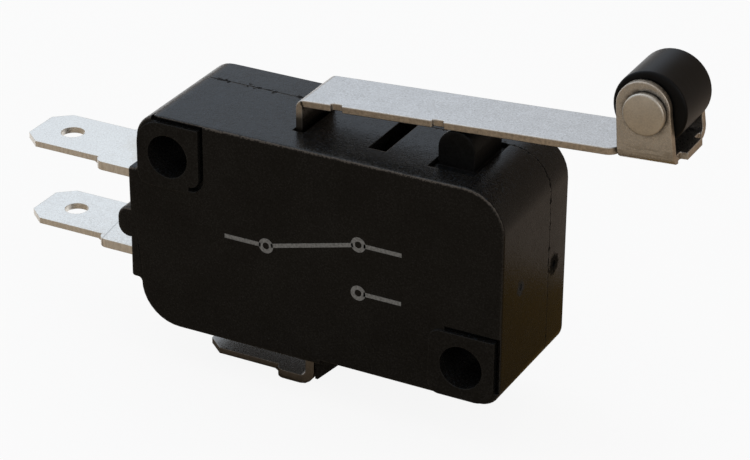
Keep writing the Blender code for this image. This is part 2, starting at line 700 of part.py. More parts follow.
def make_plunger():
    guide_top = TOP_Z - GUIDE_DROP
    flange_top = CEILING_Z - SEAT_GAP
    flange_low = flange_top - FLANGE_HEIGHT
    root_z = flange_low + FLANGE_HEIGHT / 3
    nose_root_z = flange_low + FLANGE_HEIGHT / 2
    front_y = OPENING_FRONT_Y + GUIDE_GAP
    rear_y = SEAM_Y - GUIDE_GAP
    top = ridge_top()
    left = PLUNGER_X - RIDGE_RADIUS
    right = PLUNGER_X + RIDGE_RADIUS
    ridge = rounded(
        [
            (left, flange_top, 0),
            (right, flange_top, 0),
            (right, top, RIDGE_RADIUS),
            (left, top, RIDGE_RADIUS),
        ]
    )
    ridge_front_y = front_y + RIDGE_SETBACK
    ridge_rear_y = rear_y - RIDGE_ROUND
    shape = prism("XZ", ridge, ridge_front_y, ridge_rear_y)
    for end_y in (ridge_front_y, ridge_rear_y):
        round_rim(shape, 1, end_y, RIDGE_ROUND, 2)
    plunger = thing("plunger", shape)
    half = OPENING_WIDTH / 2 - GUIDE_GAP
    guide = rectangle(OPENING_X - half, front_y, OPENING_X + half, rear_y)
    join(plunger, prism("XY", guide, root_z, guide_top))
    half += FLANGE_OUT
    flange_front_y = FACE_INSIDE_Y + GUIDE_GAP
    flange = rectangle(OPENING_X - half, flange_front_y, OPENING_X + half, rear_y + FLANGE_OUT)
    join(plunger, prism("XY", flange, flange_low, flange_top))
    nose = rounded(
        [
            (PLUNGER_X - NOSE_RADIUS, nose_root_z, 0),
            (PLUNGER_X - NOSE_RADIUS, NOSE_Z, NOSE_RADIUS),
            (PLUNGER_X + NOSE_RADIUS, NOSE_Z, NOSE_RADIUS),
            (PLUNGER_X + NOSE_RADIUS, nose_root_z, 0),
        ]
    )
    join(plunger, prism("XZ", nose, MIDDLE_Y - NOSE_LENGTH / 2, MIDDLE_Y + NOSE_LENGTH / 2))
    return dress(plunger, finish("plunger_black", (0.010, 0.010, 0.010), 0.45, 0))


# Terminals


def tab_corners(start_x, length):
    """The front half of a push-on tab and its shoulder, from the shoulder to the middle of the tip."""
    half = TAB_WIDTH / 2
    tip = start_x - length
    return [
        (start_x, -SHOULDER_WIDTH / 2, SHOULDER_ROUND),
        (start_x, -half, 0),
        (tip + TAB_CHAMFER_X, -half, 0),
        (tip, -half + TAB_CHAMFER_Y, 0),
    ]


def mirrored(corners):
    """The corners of one side of an outline, then those of the other side in reverse order."""
    return corners + [(x, -y, radius) for x, y, radius in reversed(corners)]


def thin_tab(shape, start_x):
    """Presses the tab thinner from below, with a short ramp up from the full stock."""
    for x in (start_x - TAB_RAMP, start_x):
        slice_sheet(shape, 0, x)
    for point in shape.verts:
        if point.co.x < start_x - TAB_RAMP / 2 and point.co.z < MERGE:
            point.co.z = STOCK_THICKNESS - TAB_THICKNESS


def drill(plate, x, y, diameter):
    depth = STOCK_THICKNESS + CUT_OVERRUN
    cut(plate, prism("XY", circle(x, y, diameter / 2, COARSE_TURN), -depth, depth))


def place_plate(plate, bottom_z):
    """Lifts a plate that was made flat at the origin to its place in the middle of the case."""
    plate.data.transform(Matrix.Translation((0, MIDDLE_Y, bottom_z)))


def side_terminal(name, bottom_z, joggle):
    """A straight tab through the end wall. A joggle steps its inner end up towards the moving contact."""
    inner_half = INNER_WIDTH / 2
    inner_start = LEFT_X + SIDE_WALL
    length = fold_length(STOCK_THICKNESS, JOGGLE_FOLD, math.pi / 2)
    radius = JOGGLE_FOLD + STOCK_THICKNESS / 2
    extra = max(joggle - 2 * radius, 0) + 2 * (length - radius) if joggle else 0
    corners = [(INNER_END_X + extra, -inner_half, 0), (inner_start, -inner_half, 0)]
    corners += [(inner_start, -SHOULDER_WIDTH / 2, 0)] + tab_corners(SIDE_TAB_START_X, TAB_LENGTH)
    shape = prism("XY", rounded(mirrored(corners)), 0, STOCK_THICKNESS)
    thin_tab(shape, SIDE_TAB_START_X)
    if joggle:
        first = JOGGLE_X - radius
        second = first + length + joggle - 2 * radius
        fold(shape, 0, second, 1, STOCK_THICKNESS, JOGGLE_FOLD, math.pi / 2, False)
        fold(shape, 0, first, 1, STOCK_THICKNESS, JOGGLE_FOLD, math.pi / 2, True)
    plate = thing(name, shape)
    drill(plate, SIDE_TAB_START_X - TAB_LENGTH + TAB_HOLE_INSET, 0, TAB_HOLE_DIAMETER)
    rivet_hole = circle(CONTACT_X, 0, SHANK_DIAMETER / 2 + SHANK_GAP, COARSE_TURN)
    cut(plate, prism("XY", rivet_hole, -HOLE_Z, HOLE_Z))
    place_plate(plate, bottom_z)
    return dress(plate, finish(name + "_tin", (0.66, 0.67, 0.68), 0.3, 1))


def make_common_terminal():
    """A tab under the case, folded up into a leg that ends inside as a two-pronged pivot post."""
    radius = COMMON_FOLD + STOCK_THICKNESS / 2
    fold_line = COMMON_LEG_X - radius
    middle_z = COMMON_TAB_TOP - STOCK_THICKNESS / 2
    leg_start = fold_line + fold_length(STOCK_THICKNESS, COMMON_FOLD, math.pi / 2)
    wall_end = leg_start + BOTTOM_Z + SIDE_WALL - middle_z - radius
    top = leg_start + COMMON_TOP - middle_z - radius
    fork = leg_start + FORK_ROOT - middle_z - radius
    prong_half = INNER_WIDTH / 2
    corners = [
        (fork, -FORK_GAP / 2, 0),
        (top, -FORK_GAP / 2, 0),
        (top, -prong_half, 0),
        (wall_end, -prong_half, 0),
        (wall_end, -SHOULDER_WIDTH / 2, 0),
    ] + tab_corners(COMMON_TAB_START_X, COMMON_TAB_LENGTH)
    shape = prism("XY", rounded(mirrored(corners)), 0, STOCK_THICKNESS)
    thin_tab(shape, COMMON_TAB_START_X)
    fold(shape, 0, fold_line, 1, STOCK_THICKNESS, COMMON_FOLD, math.pi / 2, True)
    plate = thing("common_terminal", shape)
    drill(plate, COMMON_TAB_START_X - COMMON_TAB_LENGTH + TAB_HOLE_INSET, 0, TAB_HOLE_DIAMETER)
    place_plate(plate, COMMON_TAB_TOP - STOCK_THICKNESS)
    return dress(plate, finish("common_terminal_tin", (0.60, 0.60, 0.60), 0.32, 1))


# Contacts and snap mechanism


def contact_shape(face, plate, back):
    """A contact rivet along Y: its face at zero, its shank through a plate and a small head behind."""
    rim = CONTACT_HEIGHT / 4
    profile = [
        (0, 0),
        (CONTACT_DIAMETER / 2 - rim, 0),
        (CONTACT_DIAMETER / 2, rim),
        (CONTACT_DIAMETER / 2, face),
        (SHANK_DIAMETER / 2, face),
        (SHANK_DIAMETER / 2, face + plate),
        (back[0] / 2, face + plate),
        (back[0] / 2, face + plate + back[1]),
        (0, face + plate + back[1]),
    ]
    return turned(profile, COARSE_TURN)


def make_contact(name, face_z, plate, looks_up, back):
    made = thing(name, contact_shape(CONTACT_HEIGHT - SHANK_GAP, plate + 2 * SHANK_GAP, back))
    turn = -math.pi / 2 if looks_up else math.pi / 2
    made.data.transform(Matrix.Rotation(turn, 4, "X"))
    made.location = (CONTACT_X, MIDDLE_Y, face_z)
    return dress(made, finish(name + "_silver", (0.78, 0.77, 0.74), 0.25, 1))


def make_contact_blade(pivot):
    """A two-legged blade: its legs bear on the pivot post, and its far end carries the moving contact."""
    pivot_x = COMMON_LEG_LEFT - PIVOT_GAP
    half = BLADE_WIDTH / 2
    web = BLADE_HOOK_X - pivot_x + SPRING_HOLE_DIAMETER
    end = CONTACT_X - pivot_x - BLADE_END
    corners = [(web, -FORK_GAP / 2, 0), (0, -FORK_GAP / 2, 0), (0, -half, 0), (end, -half, BLADE_END / 2)]
    shape = prism("XY", rounded(mirrored(corners)), -BLADE_THICKNESS / 2, BLADE_THICKNESS / 2)
    blade = thing("contact_blade", shape)
    drill(blade, CONTACT_X - pivot_x, 0, SHANK_DIAMETER + 2 * SHANK_GAP)
    drill(blade, BLADE_HOOK_X - pivot_x, 0, SPRING_HOLE_DIAMETER)
    pivot.location = (pivot_x, MIDDLE_Y, BLADE_Z)
    blade.parent = pivot
    return dress(blade, finish("blade_bronze", (0.55, 0.36, 0.20), 0.35, 1))


def make_moving_contact(pivot):
    """The rivet that meets the upper contact at rest, and the lower one when the switch is pressed."""
    face = CONTACT_HEIGHT - SHANK_GAP
    shape = contact_shape(face, BLADE_THICKNESS + 2 * SHANK_GAP, (CONTACT_DIAMETER, face))
    made = thing("moving_contact", shape)
    made.data.transform(Matrix.Rotation(-math.pi / 2, 4, "X"))
    made.parent = pivot
    made.location = (CONTACT_X - pivot.location.x, 0, BLADE_THICKNESS / 2 + CONTACT_HEIGHT)
    return dress(made, finish("moving_contact_silver", (0.78, 0.77, 0.74), 0.25, 1))


def make_actuating_arm(pivot):
    """A two-legged arm that climbs from the pivot post to a flat under the plunger."""
    pivot_x = COMMON_LEG_RIGHT + PIVOT_GAP
    half = ARM_WIDTH / 2
    web = ARM_HOOK_X - pivot_x - SPRING_HOLE_DIAMETER
    pad_z = NOSE_Z - TOUCH_GAP - ARM_THICKNESS
    climb = pad_z - (ARM_PIVOT_Z - ARM_THICKNESS / 2)
    setback = fold_setback(ARM_THICKNESS, ARM_FOLD, ARM_CLIMB)
    length = fold_length(ARM_THICKNESS, ARM_FOLD, ARM_CLIMB)
    slope = climb / math.sin(ARM_CLIMB) - 2 * setback
    first = ARM_BEND_X - pivot_x - setback
    second = first + length + slope
    pad_start = ARM_BEND_X + climb / math.tan(ARM_CLIMB)
    end = second + length + PLUNGER_X - pad_start - setback + ARM_END
    corners = [(web, -FORK_GAP / 2, 0), (0, -FORK_GAP / 2, 0), (0, -half, 0), (end, -half, ARM_END / 2)]
    shape = prism("XY", rounded(mirrored(corners)), 0, ARM_THICKNESS)
    fold(shape, 0, second, 1, ARM_THICKNESS, ARM_FOLD, ARM_CLIMB, False)
    fold(shape, 0, first, 1, ARM_THICKNESS, ARM_FOLD, ARM_CLIMB, True)
    bmesh.ops.translate(shape, verts=shape.verts, vec=(0, 0, -ARM_THICKNESS / 2))
    arm = thing("actuating_arm", shape)
    drill(arm, ARM_HOOK_X - pivot_x, 0, SPRING_HOLE_DIAMETER)
    pivot.location = (pivot_x, MIDDLE_Y, ARM_PIVOT_Z)
    arm.parent = pivot
    return dress(arm, finish("arm_steel", (0.52, 0.52, 0.50), 0.4, 1))


def spring_route():
    """The wire's middle line: up through the blade, along the coils and down through the arm."""
    blade_hook = Vector((BLADE_HOOK_X, 0, BLADE_TOP))
    arm_hook = Vector((ARM_HOOK_X, 0, ARM_PIVOT_Z + ARM_THICKNESS / 2))
    run = arm_hook - blade_hook
    along = run.normalized()
    across = Vector((0, 1, 0))
    square = along.cross(across)
    coil_length = SPRING_COILS * SPRING_PITCH
    start = blade_hook + along * (run.length - coil_length) / 2
    radius = (SPRING_DIAMETER - SPRING_WIRE) / 2
    route = [blade_hook + Vector((0, 0, z)) for z in (-BLADE_THICKNESS - WIRE_HOOK, WIRE_HOOK)]
    for step in range(SPRING_COILS * POINTS_PER_COIL + 1):
        angle = 2 * math.pi * step / POINTS_PER_COIL
        around = across * math.sin(angle) + square * math.cos(angle)
        route.append(start + along * (SPRING_PITCH * step / POINTS_PER_COIL) + around * radius)
    route += [arm_hook + Vector((0, 0, z)) for z in (WIRE_HOOK, -ARM_THICKNESS - WIRE_HOOK)]
    return route


def make_snap_spring():
    route = spring_route()
    data = bpy.data.curves.new("snap_spring", "CURVE")
    data.dimensions = "3D"
    data.bevel_depth = SPRING_WIRE / 2
    data.bevel_resolution = 1
    data.use_fill_caps = True
    line = data.splines.new("POLY")
    line.points.add(len(route) - 1)
    for point, place in zip(line.points, route):
        point.co = (*place, 1)
    spring = bpy.data.objects.new("snap_spring", data)
    bpy.context.scene.collection.objects.link(spring)
    spring.location = (0, MIDDLE_Y, 0)
    data.materials.append(finish("spring_steel", (0.45, 0.45, 0.44), 0.3, 1))
    print("snap spring, least gap to itself in mm:", round(least_gap(route) / MM, 3))
    return spring


def least_gap(route):
    """The clear distance between parts of the wire that are half a coil or more apart along it."""
    apart = POINTS_PER_COIL // 2
    pairs = [(a, b) for a in range(len(route)) for b in range(a + apart, len(route))]
    return min((route[a] - route[b]).length for a, b in pairs) - SPRING_WIRE


def pivot_point(name):
    pivot = bpy.data.objects.new(name, None)
    bpy.context.scene.collection.objects.link(pivot)
    return pivot


def main():
    for old in list(bpy.data.objects):
        bpy.data.objects.remove(old)
    make_housing()
    make_rear_cover()
    make_plunger()
    lever_pivot = pivot_point("lever_pivot")
    make_lever(lever_pivot)
    make_roller(lever_pivot)
    make_roller_pin(lever_pivot)
    lever_pivot.location = (HINGE_X, MIDDLE_Y, CEILING_Z)
    lever_pivot.rotation_euler = (0, -LEVER_REST_ANGLE, 0)
    rivet_back = (SHANK_HEAD_DIAMETER, SHANK_HEAD_HEIGHT)
    no_bottom = NO_TAB_TOP - STOCK_THICKNESS
    side_terminal("nc_terminal", NC_TAB_TOP - STOCK_THICKNESS, 0)
    side_terminal("no_terminal", no_bottom, NO_INNER_TOP - NO_TAB_TOP)
    make_common_terminal()
    make_contact("nc_contact", NC_CONTACT_FACE, STOCK_THICKNESS, False, rivet_back)
    make_contact("no_contact", NO_CONTACT_FACE, STOCK_THICKNESS, True, rivet_back)
    blade_pivot = pivot_point("blade_pivot")
    make_contact_blade(blade_pivot)
    make_moving_contact(blade_pivot)
    make_actuating_arm(pivot_point("arm_pivot"))
    make_snap_spring()


main()
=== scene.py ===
import math

import bmesh
import bpy
from mathutils import Euler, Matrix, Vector


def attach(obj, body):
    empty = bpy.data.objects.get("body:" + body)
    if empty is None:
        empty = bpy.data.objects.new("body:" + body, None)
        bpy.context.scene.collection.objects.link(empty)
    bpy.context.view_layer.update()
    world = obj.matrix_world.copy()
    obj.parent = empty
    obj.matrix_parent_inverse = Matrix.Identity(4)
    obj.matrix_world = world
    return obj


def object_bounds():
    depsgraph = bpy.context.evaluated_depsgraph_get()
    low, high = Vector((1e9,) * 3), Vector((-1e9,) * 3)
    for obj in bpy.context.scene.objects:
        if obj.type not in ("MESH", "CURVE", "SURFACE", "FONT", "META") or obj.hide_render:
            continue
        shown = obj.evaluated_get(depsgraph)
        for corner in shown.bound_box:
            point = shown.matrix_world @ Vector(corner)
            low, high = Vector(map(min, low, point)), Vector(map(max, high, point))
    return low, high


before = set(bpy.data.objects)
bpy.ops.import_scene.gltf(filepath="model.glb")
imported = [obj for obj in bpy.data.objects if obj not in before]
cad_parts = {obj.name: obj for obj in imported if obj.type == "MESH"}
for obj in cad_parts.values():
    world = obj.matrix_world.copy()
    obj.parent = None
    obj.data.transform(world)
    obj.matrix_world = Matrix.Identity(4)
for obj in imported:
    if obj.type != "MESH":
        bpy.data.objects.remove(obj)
cad_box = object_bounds()

MM = 0.001

# Places on the part, as its solids have them
FRONT_FACE_Y = -10.15 * MM
MIDDLE_Y = -5.075 * MM
SEAM_Y = -2.925 * MM
HINGE = Vector((-2.55, -5.075, 6.6)) * MM
LEVER_REST_ANGLE = math.radians(3.85)

# More places, in millimetres; those on the lever run along it and up from its hinge
RIM_ROUND = 0.2
LEVER_TOP = 3.45
EAR_START = 22.9
AXLE_ALONG = 25.16
AXLE_ABOVE = 6.45
COMMON_TAB_END = -4.2

WHITE = (1, 1, 1)
BLACK = (0, 0, 0)


# Node helpers


def add(tree, kind, inputs=None, **settings):
    """A new node. Each input is a plain value, or the output of another node."""
    made = tree.nodes.new(kind)
    for name, value in settings.items():
        setattr(made, name, value)
    for name, value in (inputs or {}).items():
        if isinstance(value, bpy.types.NodeSocket):
            tree.links.new(value, made.inputs[name])
        else:
            made.inputs[name].default_value = value
    return made


def calc(tree, operation, first, second=0.0, clamp=False):
    """The result of one sum on values."""
    inputs = {0: first, 1: second}
    return add(tree, "ShaderNodeMath", inputs, operation=operation, use_clamp=clamp).outputs[0]


def product(tree, first, *others):
    """All the values multiplied."""
    for other in others:
        first = calc(tree, "MULTIPLY", first, other)
    return first


def total(tree, first, *others):
    """All the values added."""
    for other in others:
        first = calc(tree, "ADD", first, other)
    return first


def weighted(tree, first, second, shares):
    """Two values added, each by its share."""
    return total(tree, product(tree, first, shares[0]), product(tree, second, shares[1]))


def gap(tree, first, second):
    """How far two values are apart."""
    return calc(tree, "ABSOLUTE", calc(tree, "SUBTRACT", first, second))


def span(tree, value, low, high, to_low=0.0, to_high=1.0):
    """The value carried from one span to another, eased at both ends and held beyond them."""
    inputs = {"Value": value, "From Min": low, "From Max": high, "To Min": to_low, "To Max": to_high}
    return add(tree, "ShaderNodeMapRange", inputs, interpolation_type="SMOOTHSTEP").outputs[0]


def with_alpha(colour):
    """A plain colour made opaque. The output of a node stays as it is."""
    return colour if isinstance(colour, bpy.types.NodeSocket) else (*colour, 1)


def scaled(colour, factor):
    """A plain colour made darker or brighter."""
    return tuple(min(1.0, factor * part) for part in colour)


def blend(tree, share, first, second):
    """Two colours mixed by a share."""
    inputs = {0: share, 6: with_alpha(first), 7: with_alpha(second)}
    return add(tree, "ShaderNodeMix", inputs, data_type="RGBA").outputs[2]


def lay(tree, colour, mask, strength, tone):
    """A colour with a tone laid over it where a mask is."""
    return blend(tree, product(tree, mask, strength), colour, tone)


def noise(tree, place, scale, detail=2.0, roughness=0.5):
    """An even noise round 0.5."""
    inputs = {"Vector": place, "Scale": scale, "Detail": detail, "Roughness": roughness}
    return add(tree, "ShaderNodeTexNoise", inputs).outputs[0]


def vector_calc(tree, operation, first, second, output="Vector"):
    """The result of one sum on vectors."""
    return add(tree, "ShaderNodeVectorMath", {0: first, 1: second}, operation=operation).outputs[output]


def stretched(tree, place, scales):
    """The place with each axis scaled by itself, for marks that run one way."""
    return vector_calc(tree, "MULTIPLY", place, scales)


def axes(tree, vector):
    """The three parts of a vector."""
    return add(tree, "ShaderNodeSeparateXYZ", {0: vector}).outputs


def in_millimetres(tree):
    """The point on the piece, in millimetres of the part's own frame."""
    where = add(tree, "ShaderNodeTexCoord").outputs["Object"]
    return add(tree, "ShaderNodeVectorMath", {0: where, "Scale": 1 / MM}, operation="SCALE").outputs[0]


def facing(tree):
    """How far the surface faces each axis of the part, from -1 to 1."""
    return axes(tree, add(tree, "ShaderNodeTexCoord").outputs["Normal"])


def flat_facing(tree):
    """How far the face itself, without smoothing, faces each axis of the part."""
    normal = add(tree, "ShaderNodeNewGeometry").outputs["True Normal"]
    turn = {"vector_type": "NORMAL", "convert_from": "WORLD", "convert_to": "OBJECT"}
    return axes(tree, add(tree, "ShaderNodeVectorTransform", {0: normal}, **turn).outputs[0])


def new_group(name, inputs, outputs):
    """An empty shader node group that takes a place and plain values, with its ends ready to be wired."""
    group = bpy.data.node_groups.new(name, "ShaderNodeTree")
    group.interface.new_socket("Place", in_out="INPUT", socket_type="NodeSocketVector")
    for title in inputs:
        group.interface.new_socket(title, in_out="INPUT", socket_type="NodeSocketFloat")
    for title in outputs:
        group.interface.new_socket(title, in_out="OUTPUT", socket_type="NodeSocketFloat")
    start = group.nodes.new("NodeGroupInput").outputs
    end = group.nodes.new("NodeGroupOutput").inputs
    return group, start, end


def use(tree, group, inputs):
    """The outputs of a group that is placed in a material with its own values."""
    return add(tree, "ShaderNodeGroup", inputs, node_tree=group).outputs


# Effects that several finishes share

# A noise is written as its scale, detail and roughness, or without the scale where that is given apart.
# A span is written as the two values that it starts and ends at, and then the two that it is carried to,
# which are 0 and 1 where they aren't written.

# The part of a noise where most of it lies
NOISE_SWING = (0.3, 0.7)

EDGE_SAMPLES = 6
EDGE_TURN = (0.995, 0.85)
EDGE_SHELTER = 0.4 * MM
EDGE_OPEN = (0.55, 0.9)
EDGE_PATCHES = (4.0, 0.65)
EDGE_PATCH_KEPT = (0.75, 1.05)


def make_edge_rub():
    """Marks the outer edges of a piece, in broken patches, where hands and tools rub it."""
    group, start, end = new_group("edge_rub", ["Reach", "Patch Scale", "Cover"], ["Mask"])
    rounded = add(group, "ShaderNodeBevel", {"Radius": start["Reach"]}, samples=EDGE_SAMPLES).outputs[0]
    flat = add(group, "ShaderNodeNewGeometry").outputs["Normal"]
    edge = span(group, vector_calc(group, "DOT_PRODUCT", rounded, flat, "Value"), *EDGE_TURN)
    shelter = {"Distance": EDGE_SHELTER}
    open_air = add(group, "ShaderNodeAmbientOcclusion", shelter, samples=EDGE_SAMPLES).outputs["AO"]
    outer = span(group, open_air, *EDGE_OPEN)
    patches = noise(group, start["Place"], start["Patch Scale"], *EDGE_PATCHES)
    kept = span(group, total(group, patches, start["Cover"]), *EDGE_PATCH_KEPT)
    group.links.new(calc(group, "MULTIPLY", product(group, edge, outer), kept, clamp=True), end["Mask"])
    return group


SPECK_SIZES = (0.0, 1.0, 0.4, 1.2)
SPECK_CORE = 0.55


def make_specks():
    """Small scattered dots, such as pits in plating or dust on plastic."""
    group, start, end = new_group("specks", ["Per Millimetre", "Size", "Share"], ["Mask"])
    inputs = {"Vector": start["Place"], "Scale": start["Per Millimetre"]}
    cells = add(group, "ShaderNodeTexVoronoi", inputs).outputs
    chance = add(group, "ShaderNodeSeparateColor", {0: cells["Color"]}).outputs
    size = product(group, start["Size"], span(group, chance[1], *SPECK_SIZES))
    dot = span(group, cells["Distance"], size, product(group, size, SPECK_CORE))
    there = calc(group, "LESS_THAN", chance[0], start["Share"])
    group.links.new(product(group, dot, there), end["Mask"])
    return group


GRAIN_FINE = (3.0, 0.6)
GRAIN_COARSENESS = 0.22
GRAIN_SLOW = (0.35, 3.0, 0.55)
GRAIN_HEIGHT_SHARES = (0.7, 0.3)
GRAIN_TONE_SHARES = (0.75, 0.25)


def make_moulded_grain():
    """The fine matt grain that a mould leaves on plastic, with slow changes in gloss."""
    group, start, end = new_group("moulded_grain", ["Fineness"], ["Height", "Tone", "Gloss"])
    fine = noise(group, start["Place"], start["Fineness"], *GRAIN_FINE)
    coarse = noise(group, start["Place"], product(group, start["Fineness"], GRAIN_COARSENESS))
    slow = noise(group, start["Place"], *GRAIN_SLOW)
    group.links.new(weighted(group, fine, coarse, GRAIN_HEIGHT_SHARES), end["Height"])
    group.links.new(weighted(group, fine, slow, GRAIN_TONE_SHARES), end["Tone"])
    group.links.new(slow, end["Gloss"])
    return group


PLATING_MOTTLE = (4.0, 0.7)
PLATING_CLOUDS = (0.7, 4.0, 0.6)
ROLLING_STRETCH = (0.08, 1.0, 1.0)
ROLLING_LINES = (3.0, 0.6)


def make_plating():
    """Thin plating on strip: an even fine mottle, slow clouds, and faint lines along X from rolling."""
    group, start, end = new_group("plating", ["Fineness"], ["Mottle", "Clouds", "Lines"])
    along = stretched(group, start["Place"], ROLLING_STRETCH)
    group.links.new(noise(group, start["Place"], start["Fineness"], *PLATING_MOTTLE), end["Mottle"])
    group.links.new(noise(group, start["Place"], *PLATING_CLOUDS), end["Clouds"])
    group.links.new(noise(group, along, start["Fineness"], *ROLLING_LINES), end["Lines"])
    return group


RIM_OFF_SIDE = (0.2, 0.3)
RIM_OFF_FACE = (0.985, 0.95)
RIM_WANDER = (7.0, 5.0, 0.75)
RIM_WIDTH = (0.34, 0.68, 0.0, 0.5 * RIM_ROUND)
RIM_LINE_DEPTH = 0.3 * RIM_ROUND
RIM_CORE = 0.4
RIM_UPWARD = (0.0, 0.4, 0.15, 1.0)


def make_rim_line():
    """Marks a broken line along the rounded rims of the two shells, where the corner is scuffed pale and a
    highlight is painted, most on the rims that look up.
    """
    group, start, end = new_group("rim_line", [], ["Mask"])
    across = axes(group, start["Place"])[1]
    faces = flat_facing(group)
    outward = calc(group, "ABSOLUTE", faces[1])
    slanted = product(group, span(group, outward, *RIM_OFF_SIDE), span(group, outward, *RIM_OFF_FACE))
    from_front = gap(group, across, FRONT_FACE_Y / MM)
    from_rear = calc(group, "ABSOLUTE", across)
    inward = calc(group, "MINIMUM", from_front, from_rear)
    width = span(group, noise(group, start["Place"], *RIM_WANDER), *RIM_WIDTH)
    line = span(group, gap(group, inward, RIM_LINE_DEPTH), width, product(group, width, RIM_CORE))
    # The rims that look up get the most, as painted light
    upper = span(group, faces[2], *RIM_UPWARD)
    group.links.new(product(group, slanted, line, upper), end["Mask"])
    return group


# Chips along the seam: kind, scale, where one starts in its noise, and its half width in millimetres at most
SEAM_CHIP_KINDS = (("Dark", 1.5, 0.49, 0.44), ("Pale", 2.9, 0.51, 0.2))
SEAM_CHIP_RISE = 0.16
SEAM_WANDER = (5.0, 0.75)
SEAM_CORE = 0.6
SEAM_UPWARD = (0.5, 0.95, 0.55, 1.0)


def make_seam_chips():
    """Marks the seam between the two shells: dark chips, and pale crumbs of flash."""
    group, start, end = new_group("seam_chips", [], ["Dark", "Pale"])
    off = gap(group, axes(group, start["Place"])[1], SEAM_Y / MM)
    upper = span(group, flat_facing(group)[2], *SEAM_UPWARD)
    for kind, scale, low, widest in SEAM_CHIP_KINDS:
        wander = noise(group, start["Place"], scale, *SEAM_WANDER)
        width = product(group, span(group, wander, low, low + SEAM_CHIP_RISE, 0.0, widest), upper)
        group.links.new(span(group, off, width, product(group, width, SEAM_CORE)), end[kind])
    return group


# Painted shade: darker colour in inner corners and narrow gaps, found by ambient occlusion
CREVICE_SHADE_REACH = 0.6 * MM
CREVICE_SHADE_SAMPLES = 8
CREVICE_SHADE_PATCHES = (3.0, 3.0, 0.6)
CREVICE_SHADE_UNEVEN = (-0.08, 0.08)
CREVICE_SHADE_SHELTER = (0.92, 0.5)


def make_crevice_shade():
    """Marks inner corners and narrow gaps, where shade is painted."""
    group, start, end = new_group("painted_crevice_shade", [], ["Mask"])
    reach = {"Distance": CREVICE_SHADE_REACH}
    open_air = add(group, "ShaderNodeAmbientOcclusion", reach, samples=CREVICE_SHADE_SAMPLES).outputs["AO"]
    uneven = span(group, noise(group, start["Place"], *CREVICE_SHADE_PATCHES), *NOISE_SWING, *CREVICE_SHADE_UNEVEN)
    group.links.new(span(group, total(group, open_air, uneven), *CREVICE_SHADE_SHELTER), end["Mask"])
    return group


EDGE_RUB = make_edge_rub()
CREVICE_SHADE = make_crevice_shade()
SPECKS = make_specks()
MOULDED_GRAIN = make_moulded_grain()
PLATING = make_plating()
RIM_LINE = make_rim_line()
SEAM_CHIPS = make_seam_chips()


# Finishes

# A layer is written as its strength and its tone, rubbed edges as their reach, patch scale and cover,
# specks as their number in a millimetre, size and share, and a surface as its edge radius, relief and depth.


def new_finish(name):
    """A material with a Principled shader, and the point on the piece in millimetres."""
    material = bpy.data.materials.new(name)
    material.use_nodes = True
    tree = material.node_tree
    shader = tree.nodes["Principled BSDF"]
    return material, tree, shader, in_millimetres(tree)


def rubbed_edges(tree, place, reach, patch_scale, cover):
    """Where the outer edges are rubbed."""
    inputs = {"Place": place, "Reach": reach, "Patch Scale": patch_scale, "Cover": cover}
    return use(tree, EDGE_RUB, inputs)["Mask"]


def specks(tree, place, per_millimetre, size, share):
    """Where the small dots are."""
    inputs = {"Place": place, "Per Millimetre": per_millimetre, "Size": size, "Share": share}
    return use(tree, SPECKS, inputs)["Mask"]


def round_edges(tree, shader, height, radius, relief, depth):
    """Softens the shading over edges by a radius, and adds relief from a height."""
    normal = add(tree, "ShaderNodeBevel", {"Radius": radius}, samples=EDGE_SAMPLES).outputs[0]
    inputs = {"Strength": relief, "Distance": depth, "Height": height, "Normal": normal}
    tree.links.new(add(tree, "ShaderNodeBump", inputs).outputs[0], shader.inputs["Normal"])


# Rough marks that the mould leaves on the right-hand end: place and reach in millimetres, and tone
MOULD_MARKS = (
    (Vector((13.9, -7.3, 0.15)), 0.6, (0.062, 0.060, 0.058)),
    (Vector((13.9, -2.0, -0.55)), 0.8, (0.002, 0.0018, 0.0014)),
)
MARK_OUTLINE = (4.0, 4.0, 0.75)
MARK_UNEVEN = (-0.2, 0.2)
MARK_CORE = 0.6
MARK_STRENGTH = 0.8


def mould_marks(tree, place, colour):
    """Adds the rough marks of the mould to the plastic's colour, and tells where they are."""
    uneven = span(tree, noise(tree, place, *MARK_OUTLINE), *NOISE_SWING, *MARK_UNEVEN)
    torn = 0.0
    for spot, reach, tone in MOULD_MARKS:
        away = vector_calc(tree, "DISTANCE", place, spot, "Value")
        mark = span(tree, total(tree, away, uneven), reach, MARK_CORE * reach)
        colour = lay(tree, colour, mark, MARK_STRENGTH, tone)
        torn = calc(tree, "MAXIMUM", torn, mark)
    return colour, torn


TOP_LIGHT_GRAIN = (5.0, 3.0, 0.8)
TOP_LIGHT_BITE = (0.5, 0.7)
TOP_LIGHT_UPWARD = (0.3, 0.9)


def painted_top_light(tree, place):
    """Where a speckled pale blue light is painted on faces that look up."""
    upward = span(tree, facing(tree)[2], *TOP_LIGHT_UPWARD)
    return product(tree, span(tree, noise(tree, place, *TOP_LIGHT_GRAIN), *TOP_LIGHT_BITE), upward)


GLOSS_SWING = 0.035
GRAIN_MATT = (0.42, 0.62, -0.05, 0.12)
RIM_MATT = 0.12
TORN_MATT = 0.8
CHIP_MATT = 0.5


def plastic_roughness(tree, rough, grain, rim, torn, chips):
    """How matt black plastic is: uneven with its grain, and more so where it is scuffed, torn or chipped."""
    slow = span(tree, grain["Gloss"], *NOISE_SWING, rough - GLOSS_SWING, rough + GLOSS_SWING)
    fine = span(tree, grain["Height"], *GRAIN_MATT)
    so_far = total(tree, slow, fine, product(tree, rim, RIM_MATT), product(tree, torn, TORN_MATT))
    return calc(tree, "ADD", so_far, product(tree, chips, CHIP_MATT), clamp=True)


CHIP_DEPTH = 1.5
TORN_CRUMBS = (4.5, 3.0, 0.7)
TORN_HEIGHT = 7.0


